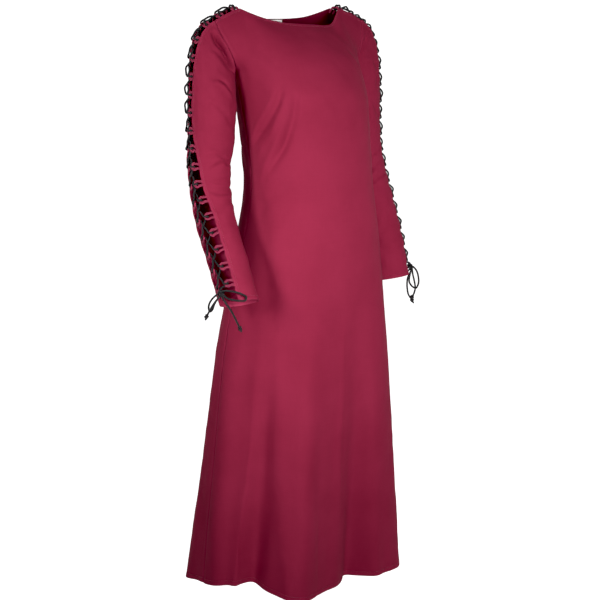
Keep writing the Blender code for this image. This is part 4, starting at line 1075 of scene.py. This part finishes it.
# ---------------------------------------------------------------- sewn loops
def loop_parts(slit, front):
    way = 1.0 if front else -1.0
    lean = np.radians(LOOP_LEAN)
    rng = np.random.default_rng(5 if front else 6)
    parts = []
    for s0 in rung_places(slit):
        out_to = loop_reach(slit, s0)
        wide = LOOP_HALF * rng.uniform(0.93, 1.06)

        def local(ds, reach, lift=0.0):
            s = min(max(s0 + ds, 0.0), slit.length)
            half = slit.at(s)[4]
            across = half - LOOP_CLEAR - reach * np.cos(lean)
            return slit.point(s, way * across, reach * np.sin(lean) + lift)

        def under(ds, deep, down):
            e, i, n = slit.cloth(min(max(s0 + ds, 0.0), slit.length), front)
            return e + i * deep - n * down

        foot = LOOP_FOOT * rng.uniform(0.95, 1.10)
        half_one = [(foot, 0.20), (foot * 0.35 + wide * 0.55, 0.42), (wide, 0.68), (wide * 0.72, 0.90), (wide * 0.36, 0.985)]
        pts = [under(-foot, 0.0085, 0.0034), under(-foot, 0.0035, 0.0030), under(-foot, -0.0004, 0.0018)]
        pts += [local(-a, b * out_to) for a, b in half_one] + [local(0.0, out_to)]
        pts += [local(a, b * out_to) for a, b in half_one[::-1]]
        pts += [under(foot, -0.0004, 0.0018), under(foot, 0.0035, 0.0030), under(foot, 0.0085, 0.0034)]
        line = spline(pts, 0.0011)
        _, _, n, a, _ = slit.at(s0)
        plane = unit(n * np.cos(lean) + a * way * np.sin(lean))
        parts.append(tube_data(line, LOOP_THICK[1], 10, flat=LOOP_THICK[0],
                               up=np.repeat(plane[None], len(line), 0), start=float(s0)))
    return parts


for word in ("right", "left"):
    for front, tag in ((True, "front"), (False, "back")):
        loops = join_meshes(f"sewn_loops_{word}_{tag}", loop_parts(SLITS[word], front), LOOP_CLOTH)
        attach(loops, "root")
        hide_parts(f"loops_{word}_{tag}")


# ---------------------------------------------------------------- stitches
def stitch_row(line, normals, pitch=0.0030, long=0.0022, thick=0.00032, lift=0.00015):
    """Small thread stitches along a line on the cloth."""
    run = np.concatenate([[0.0], np.cumsum(np.linalg.norm(np.diff(line, axis=0), axis=1))])
    parts = []
    for s in np.arange(pitch, run[-1] - pitch, pitch):
        ts = s + np.linspace(-long / 2.0, long / 2.0, 4)
        p = np.column_stack([np.interp(ts, run, line[:, k]) for k in range(3)])
        n = unit(np.array([np.interp(s, run, normals[:, k]) for k in range(3)]))
        arch = np.array([-0.30, 0.9, 0.9, -0.30]) * thick + lift
        parts.append(thread_data(p + n * arch[:, None], thick))
    return parts


def thread_data(path, radius):
    """A short four-sided thread, pointed at both ends."""
    t = unit(path[-1] - path[0])
    a = unit(np.cross(t, (0.31, 0.52, 0.79)))
    b = np.cross(t, a)
    rings = [path[1] + d * radius for d in (a, b, -a, -b)] + [path[2] + d * radius for d in (a, b, -a, -b)]
    verts = np.array([path[0]] + rings + [path[3]])
    faces = [[0, 1 + k, 1 + (k + 1) % 4] for k in range(4)]
    faces += [[1 + k, 5 + k, 5 + (k + 1) % 4, 1 + (k + 1) % 4] for k in range(4)]
    faces += [[9, 5 + (k + 1) % 4, 5 + k] for k in range(4)]
    s = np.array([0.0] + [0.0007] * 4 + [0.0014] * 4 + [0.0021])
    uv = np.column_stack([s, np.array([0.0, 0.0, 0.25, 0.5, 0.75, 0.0, 0.25, 0.5, 0.75, 0.0])])
    return verts, faces, uv


def level_line(surface, N, D, value, axis):
    """The line on a surface at an even distance from an edge. axis 0: one point a column."""
    if axis == 1:
        surface, N, D = np.swapaxes(surface, 0, 1), np.swapaxes(N, 0, 1), D.T
    line, normals = [], []
    for j in range(surface.shape[1]):
        d = D[:, j]
        order = np.argsort(d)
        line.append([np.interp(value, d[order], surface[order, j, k]) for k in range(3)])
        normals.append([np.interp(value, d[order], N[order, j, k]) for k in range(3)])
    return np.array(line), unit(np.array(normals))


def band_height(d, wide, thick):
    """The step of a turned and stitched band, and the furrow of its stitches."""
    step = thick * (1.0 - smooth((d - wide + 0.0004) / 0.0014))
    furrow = -0.00055 * np.exp(-((d - wide + 0.0012) / 0.0009) ** 2)
    roll = -0.00045 * (1.0 - smooth(d / 0.0016))
    return step + furrow + roll


def seam_height(d, run, seed):
    """A pressed seam: a groove, the allowance beside it and small puckers."""
    groove = -0.0011 * np.exp(-(d / 0.0016) ** 2)
    allow = 0.00035 * smooth(d / 0.002) * (1.0 - smooth((d - 0.008) / 0.003))
    wave = np.sin(run * 2 * np.pi / 0.011 + 1.3 * np.sin(run * 37.0 + seed)) * (0.6 + 0.4 * np.sin(run * 61.0 + 2 * seed))
    pucker = 0.00028 * wave * np.exp(-((d - 0.0045) / 0.0045) ** 2)
    return groove + allow + pucker


# ---------------------------------------------------------------- cloth
def make_panel(front):
    P = panel_surface(front)
    word = "front" if front else "back"
    middle = np.array((0.0, -0.06, 0.0)) * np.ones(P.shape)
    middle[..., 2] = P[..., 2]
    N = grid_normals(P, middle)
    top, hem = run_along(P, 0, back=True), run_along(P, 0)
    right, left = run_along(P, 1), run_along(P, 1, back=True)
    beside = np.minimum(right, left)
    low = P[..., 2] < UNDERARM_Z + 0.001
    table = FRONT_FOLDS if front else BACK_FOLDS
    folds = fold_field(P, N, table, lambda u, h: panel_place(u, h, front))
    folds = folds + uneven(P * (1.0, 1.0, 0.45), 0.060, 3) * 0.0007 * smooth((hem + 0.02) / 0.05)
    folds = folds + uneven(P * (1.0, 1.0, 0.6), 0.026, 8) * 0.00022
    # the hem's stitched edge holds the folds flatter
    folds = folds * (1.0 - 0.62 * np.exp(-(hem / 0.095) ** 2))
    folds = folds + 0.0006 * np.sin(right * 2 * np.pi / 0.083 + 2.0 * np.sin(right * 21.0)) * np.exp(-(hem / 0.030) ** 2)
    hold = smooth((beside - 0.001) / 0.012) * np.where(low, 1.0, smooth((top - 0.0005) / 0.006))
    folds = folds * hold
    run_down = -P[..., 2] + 0.6 * np.abs(P[..., 1])
    bands = band_height(top, BAND, 0.00075) + band_height(hem, HEM_BAND, 0.00060)
    bands = bands + seam_height(beside, run_down, 2.0 if front else 5.0)
    # drag lines off the top band's stitches
    bands = bands + 0.00022 * np.sin(right * 2 * np.pi / 0.009 + 2 * np.sin(right * 40.0)) * np.exp(-((top - 0.011) / 0.006) ** 2)
    bands = bands + 0.00030 * np.sin(right * 2 * np.pi / 0.012 + 2 * np.sin(right * 31.0)) * np.exp(-((hem - 0.016) / 0.008) ** 2)
    wear = np.exp(-top / 0.0022) + np.exp(-hem / 0.0026) + 0.45 * np.exp(-((beside - 0.004) / 0.003) ** 2)
    wear = wear + 0.5 * np.exp(-((top - BAND + 0.0035) / 0.0025) ** 2)
    centre = P.shape[1] // 2
    across = right - right[:, centre:centre + 1]
    down = np.broadcast_to(top[:, centre:centre + 1], across.shape)
    uv = np.stack([across, -down], -1)
    obj, outer, base = shell(f"cloth_{word}", P, N, folds, bands, wear, uv, (CANVAS, SHADED_INSIDE))
    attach(obj, "root")
    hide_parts(f"{word}_panel")
    parts = []
    for D, value in ((top, BAND - 0.0012), (hem, HEM_BAND - 0.0012)):
        line, normals = level_line(outer, N, D, value, 0)
        parts += stitch_row(line, normals)
    sewn = join_meshes(f"stitches_{word}", parts, THREAD)
    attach(sewn, "root")
    area = surface_area(base)
    print("cloth", word, P.shape, "area", round(area, 3), "faces", len(obj.data.polygons))
    return outer, N


def make_sleeve(side):
    P = sleeve_surface(side)
    word = "right" if side < 0 else "left"
    middle = P.mean(axis=1, keepdims=True) * np.ones(P.shape)
    N = grid_normals(P, middle)
    arm, cuff = run_along(P, 0), run_along(P, 0, back=True)
    f_edge, b_edge = run_along(P, 1), run_along(P, 1, back=True)
    edge = np.minimum(f_edge, b_edge)
    table = SLEEVE_RIGHT_FOLDS if side < 0 else SLEEVE_LEFT_FOLDS
    folds = fold_field(P, N, table, lambda t, q: sleeve_place(side, q, t))
    folds = folds + uneven(P, 0.045, 4 if side < 0 else 9) * 0.0006 + uneven(P, 0.020, 5) * 0.0002
    folds = folds * (1.50 - 0.50 * smooth((arm - 0.14) / 0.08)) * smooth((arm - 0.001) / 0.010) * (0.25 + 0.75 * smooth(edge / 0.010))
    bands = band_height(edge, BAND, 0.00070) + band_height(cuff, HEM_BAND * 0.85, 0.00060)
    bands = bands + seam_height(arm, f_edge, 7.0)
    # the slit's band is drawn in by each loop and puckers between them
    slit = SLITS[word]
    pitch = rung_places(slit)[1] - rung_places(slit)[0]
    neck_run = slit.s[100]
    phase = (arm + neck_run - rung_places(slit)[0]) / pitch
    bands = bands - 0.0009 * np.cos(2 * np.pi * phase) * np.exp(-(edge / 0.010) ** 2)
    bands = bands + 0.00026 * np.sin(arm * 2 * np.pi / 0.010 + 2 * np.sin(arm * 45.0)) * np.exp(-((edge - 0.012) / 0.006) ** 2)
    wear = np.exp(-edge / 0.0022) + np.exp(-cuff / 0.0026) + 0.45 * np.exp(-((arm - 0.004) / 0.003) ** 2)
    wear = wear + 0.5 * np.exp(-((edge - BAND + 0.0035) / 0.0025) ** 2)
    uv = np.stack([f_edge, -np.broadcast_to(arm[:, :1], arm.shape)], -1)
    obj, outer, base = shell(f"cloth_sleeve_{word}", P, N, folds, bands, wear, uv, (CANVAS, LIT_SLEEVE_INSIDE))
    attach(obj, "root")
    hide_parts(f"sleeve_{word}")
    parts = []
    for D, value, axis in ((f_edge, BAND - 0.0012, 1), (b_edge, BAND - 0.0012, 1), (cuff, HEM_BAND * 0.85 - 0.0012, 0)):
        line, normals = level_line(outer, N, D, value, axis)
        parts += stitch_row(line, normals)
    sewn = join_meshes(f"stitches_sleeve_{word}", parts, THREAD)
    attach(sewn, "root")
    area = surface_area(base)
    print("sleeve", word, P.shape, "area", round(area, 3), "faces", len(obj.data.polygons))
    return outer


make_panel(True)
make_panel(False)
make_sleeve(-1.0)
make_sleeve(1.0)


# ---------------------------------------------------------------- blank neck label
def make_label():
    w, h, thick = LABEL
    xs = np.linspace(-w / 2.0, w / 2.0, 49)
    downs = np.linspace(0.0012, 0.0012 + h, 27)
    table = []
    for x in xs:
        u = np.sign(x) * (abs(x) / NECK_HALF) ** (1 / 0.95) * 0.75
        vs = np.linspace(1.0, 0.6, 120)
        col = chest(u, vs, False)
        run = np.concatenate([[0.0], np.cumsum(np.linalg.norm(np.diff(col, axis=0), axis=1))])
        table.append(np.column_stack([np.interp(downs, run, col[:, k]) for k in range(3)]))
    P = np.swapaxes(np.array(table), 0, 1)
    middle = P + np.array((0.0, -1.0, -0.2))
    N = grid_normals(P, middle)
    across = np.broadcast_to(xs[None, :], P.shape[:2])
    down = np.broadcast_to((downs - downs[0])[:, None], P.shape[:2])
    end = w / 2.0 - np.abs(across)
    # folded ends, a slight belly, and a lifted lower edge
    off = 0.0022 + 0.0007 * smooth((0.0055 - end) / 0.001) * 1.0 + 0.0010 * np.sin(np.pi * down / h) ** 2
    off = off + 0.0011 * smooth((down - 0.014) / 0.008) * (0.5 + 0.5 * np.cos(across / w * 5.0))
    Q = P - N * off[..., None]
    rows, cols = Q.shape[:2]
    inner = Q - N * (thick * 0.5)
    verts = np.concatenate([Q.reshape(-1, 3), inner.reshape(-1, 3)])
    o = np.arange(rows * cols).reshape(rows, cols)
    q = o + rows * cols
    faces = np.stack([o[:-1, :-1], o[:-1, 1:], o[1:, 1:], o[1:, :-1]], -1).reshape(-1, 4).tolist()
    faces += np.stack([q[:-1, :-1], q[1:, :-1], q[1:, 1:], q[:-1, 1:]], -1).reshape(-1, 4).tolist()
    for a, b in ((o[0], q[0]), (o[-1][::-1], q[-1][::-1]), (o[:, 0][::-1], q[:, 0][::-1]), (o[:, -1], q[:, -1])):
        faces += [[int(a[k]), int(b[k]), int(b[k + 1]), int(a[k + 1])] for k in range(len(a) - 1)]
    uv = np.stack([across, -down], -1).reshape(-1, 2)
    obj = join_meshes("blank_label", [(verts, faces, np.concatenate([uv, uv]))], STRIP, wear=0.15)
    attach(obj, "root")
    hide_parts("neck_label")
    parts = []
    for x_at in (-w / 2.0 + 0.0022, w / 2.0 - 0.0022):
        j = int(np.argmin(np.abs(xs - x_at)))
        parts += stitch_row(inner[:, j], -N[:, j], pitch=0.0021, long=0.0016, thick=0.00026)
    parts += stitch_row(inner[1, 2:-2], -N[1, 2:-2], pitch=0.0021, long=0.0016, thick=0.00026)
    sewn = join_meshes("stitches_label", parts, PALE_THREAD)
    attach(sewn, "root")


make_label()


# ---------------------------------------------------------------- stage
AHEAD = (0.545, 0.839, 0.0)   # level, from the front of the garment to its back as it is photographed


def glowing_floor_material(name, value):
    m = Nodes(name)
    cloud = m.noise(m.place(), 1.5, 2.0)
    along = m.tree.nodes.new("ShaderNodeVectorMath")
    along.operation = "DOT_PRODUCT"
    m.link(m.place(), along.inputs[0])
    along.inputs[1].default_value = AHEAD
    m.set(Base_Color=m.mix(cloud, (value, value, value), (value * 0.985, value * 0.985, value * 0.985)), Roughness=0.9)
    # painted light: the floor glows, from nothing in front of the garment up to strong behind it, so it shows white and
    # the garment's shadow on it is washed out
    m.set(Specular_IOR_Level=0.1, Emission_Color=(1.0, 1.0, 1.0),
          Emission_Strength=m.remap(along.outputs["Value"], -0.35, 0.35, 0.0, 0.86))
    return m.mat


def studio_world():
    """A white room: bright behind the garment, dimmer in front of it."""
    world = bpy.data.worlds.new("studio")
    world.use_nodes = True
    tree = world.node_tree
    way = tree.nodes.new("ShaderNodeTexCoord")
    along = tree.nodes.new("ShaderNodeVectorMath")
    along.operation = "DOT_PRODUCT"
    tree.links.new(way.outputs["Generated"], along.inputs[0])
    along.inputs[1].default_value = AHEAD
    remap = tree.nodes.new("ShaderNodeMapRange")
    tree.links.new(along.outputs["Value"], remap.inputs[0])
    for k, v in zip((1, 2, 3, 4), (0.25, 0.75, 0.07, 1.20)):
        remap.inputs[k].default_value = v
    tree.nodes["Background"].inputs[0].default_value = (1.0, 1.0, 1.0, 1.0)
    tree.links.new(remap.outputs[0], tree.nodes["Background"].inputs[1])
    return world


def area_light(name, place, aim, size, power, spread=180.0, colour=(1.0, 1.0, 1.0)):
    data = bpy.data.lights.new(name, "AREA")
    data.shape, data.size, data.size_y = "RECTANGLE", size[0], size[1]
    data.energy, data.color, data.spread = power, colour, np.radians(spread)
    obj = bpy.data.objects.new(name, data)
    bpy.context.scene.collection.objects.link(obj)
    obj.location = place
    obj.rotation_mode = "QUATERNION"
    obj.rotation_quaternion = (Vector(aim) - Vector(place)).to_track_quat("-Z", "Y")
    return obj


def make_stage():
    mesh = bpy.data.meshes.new("floor")
    size, z = 14.0, -1.62
    mesh.from_pydata([(-size, -size, z), (size, -size, z), (size, size, z), (-size, size, z)], [], [(0, 1, 2, 3)])
    mesh.materials.append(glowing_floor_material("floor_pale_glowing", 0.93))
    floor = bpy.data.objects.new("floor", mesh)
    bpy.context.scene.collection.objects.link(floor)
    bpy.context.scene.world = studio_world()
    area_light("key", (-0.36, -2.45, -0.16), (0.02, -0.15, -0.60), (0.8, 0.8), 12.2, 62.0)
    area_light("side", (-1.98, -0.50, 0.24), (0.0, -0.15, -0.58), (0.5, 0.5), 4.9, 62.0)
    area_light("top", (0.3, -0.2, 3.0), (0.0, 0.0, -0.5), (2.4, 2.4), 1.0)
    bpy.context.scene.view_settings.view_transform = "Standard"
    bpy.context.scene.view_settings.look = "None"
    # the deepest tones are set a little down, as in a product picture
    view = bpy.context.scene.view_settings
    view.use_curve_mapping = True
    view.curve_mapping.black_level = (0.0085, 0.0095, 0.0090)
    view.curve_mapping.update()


make_stage()
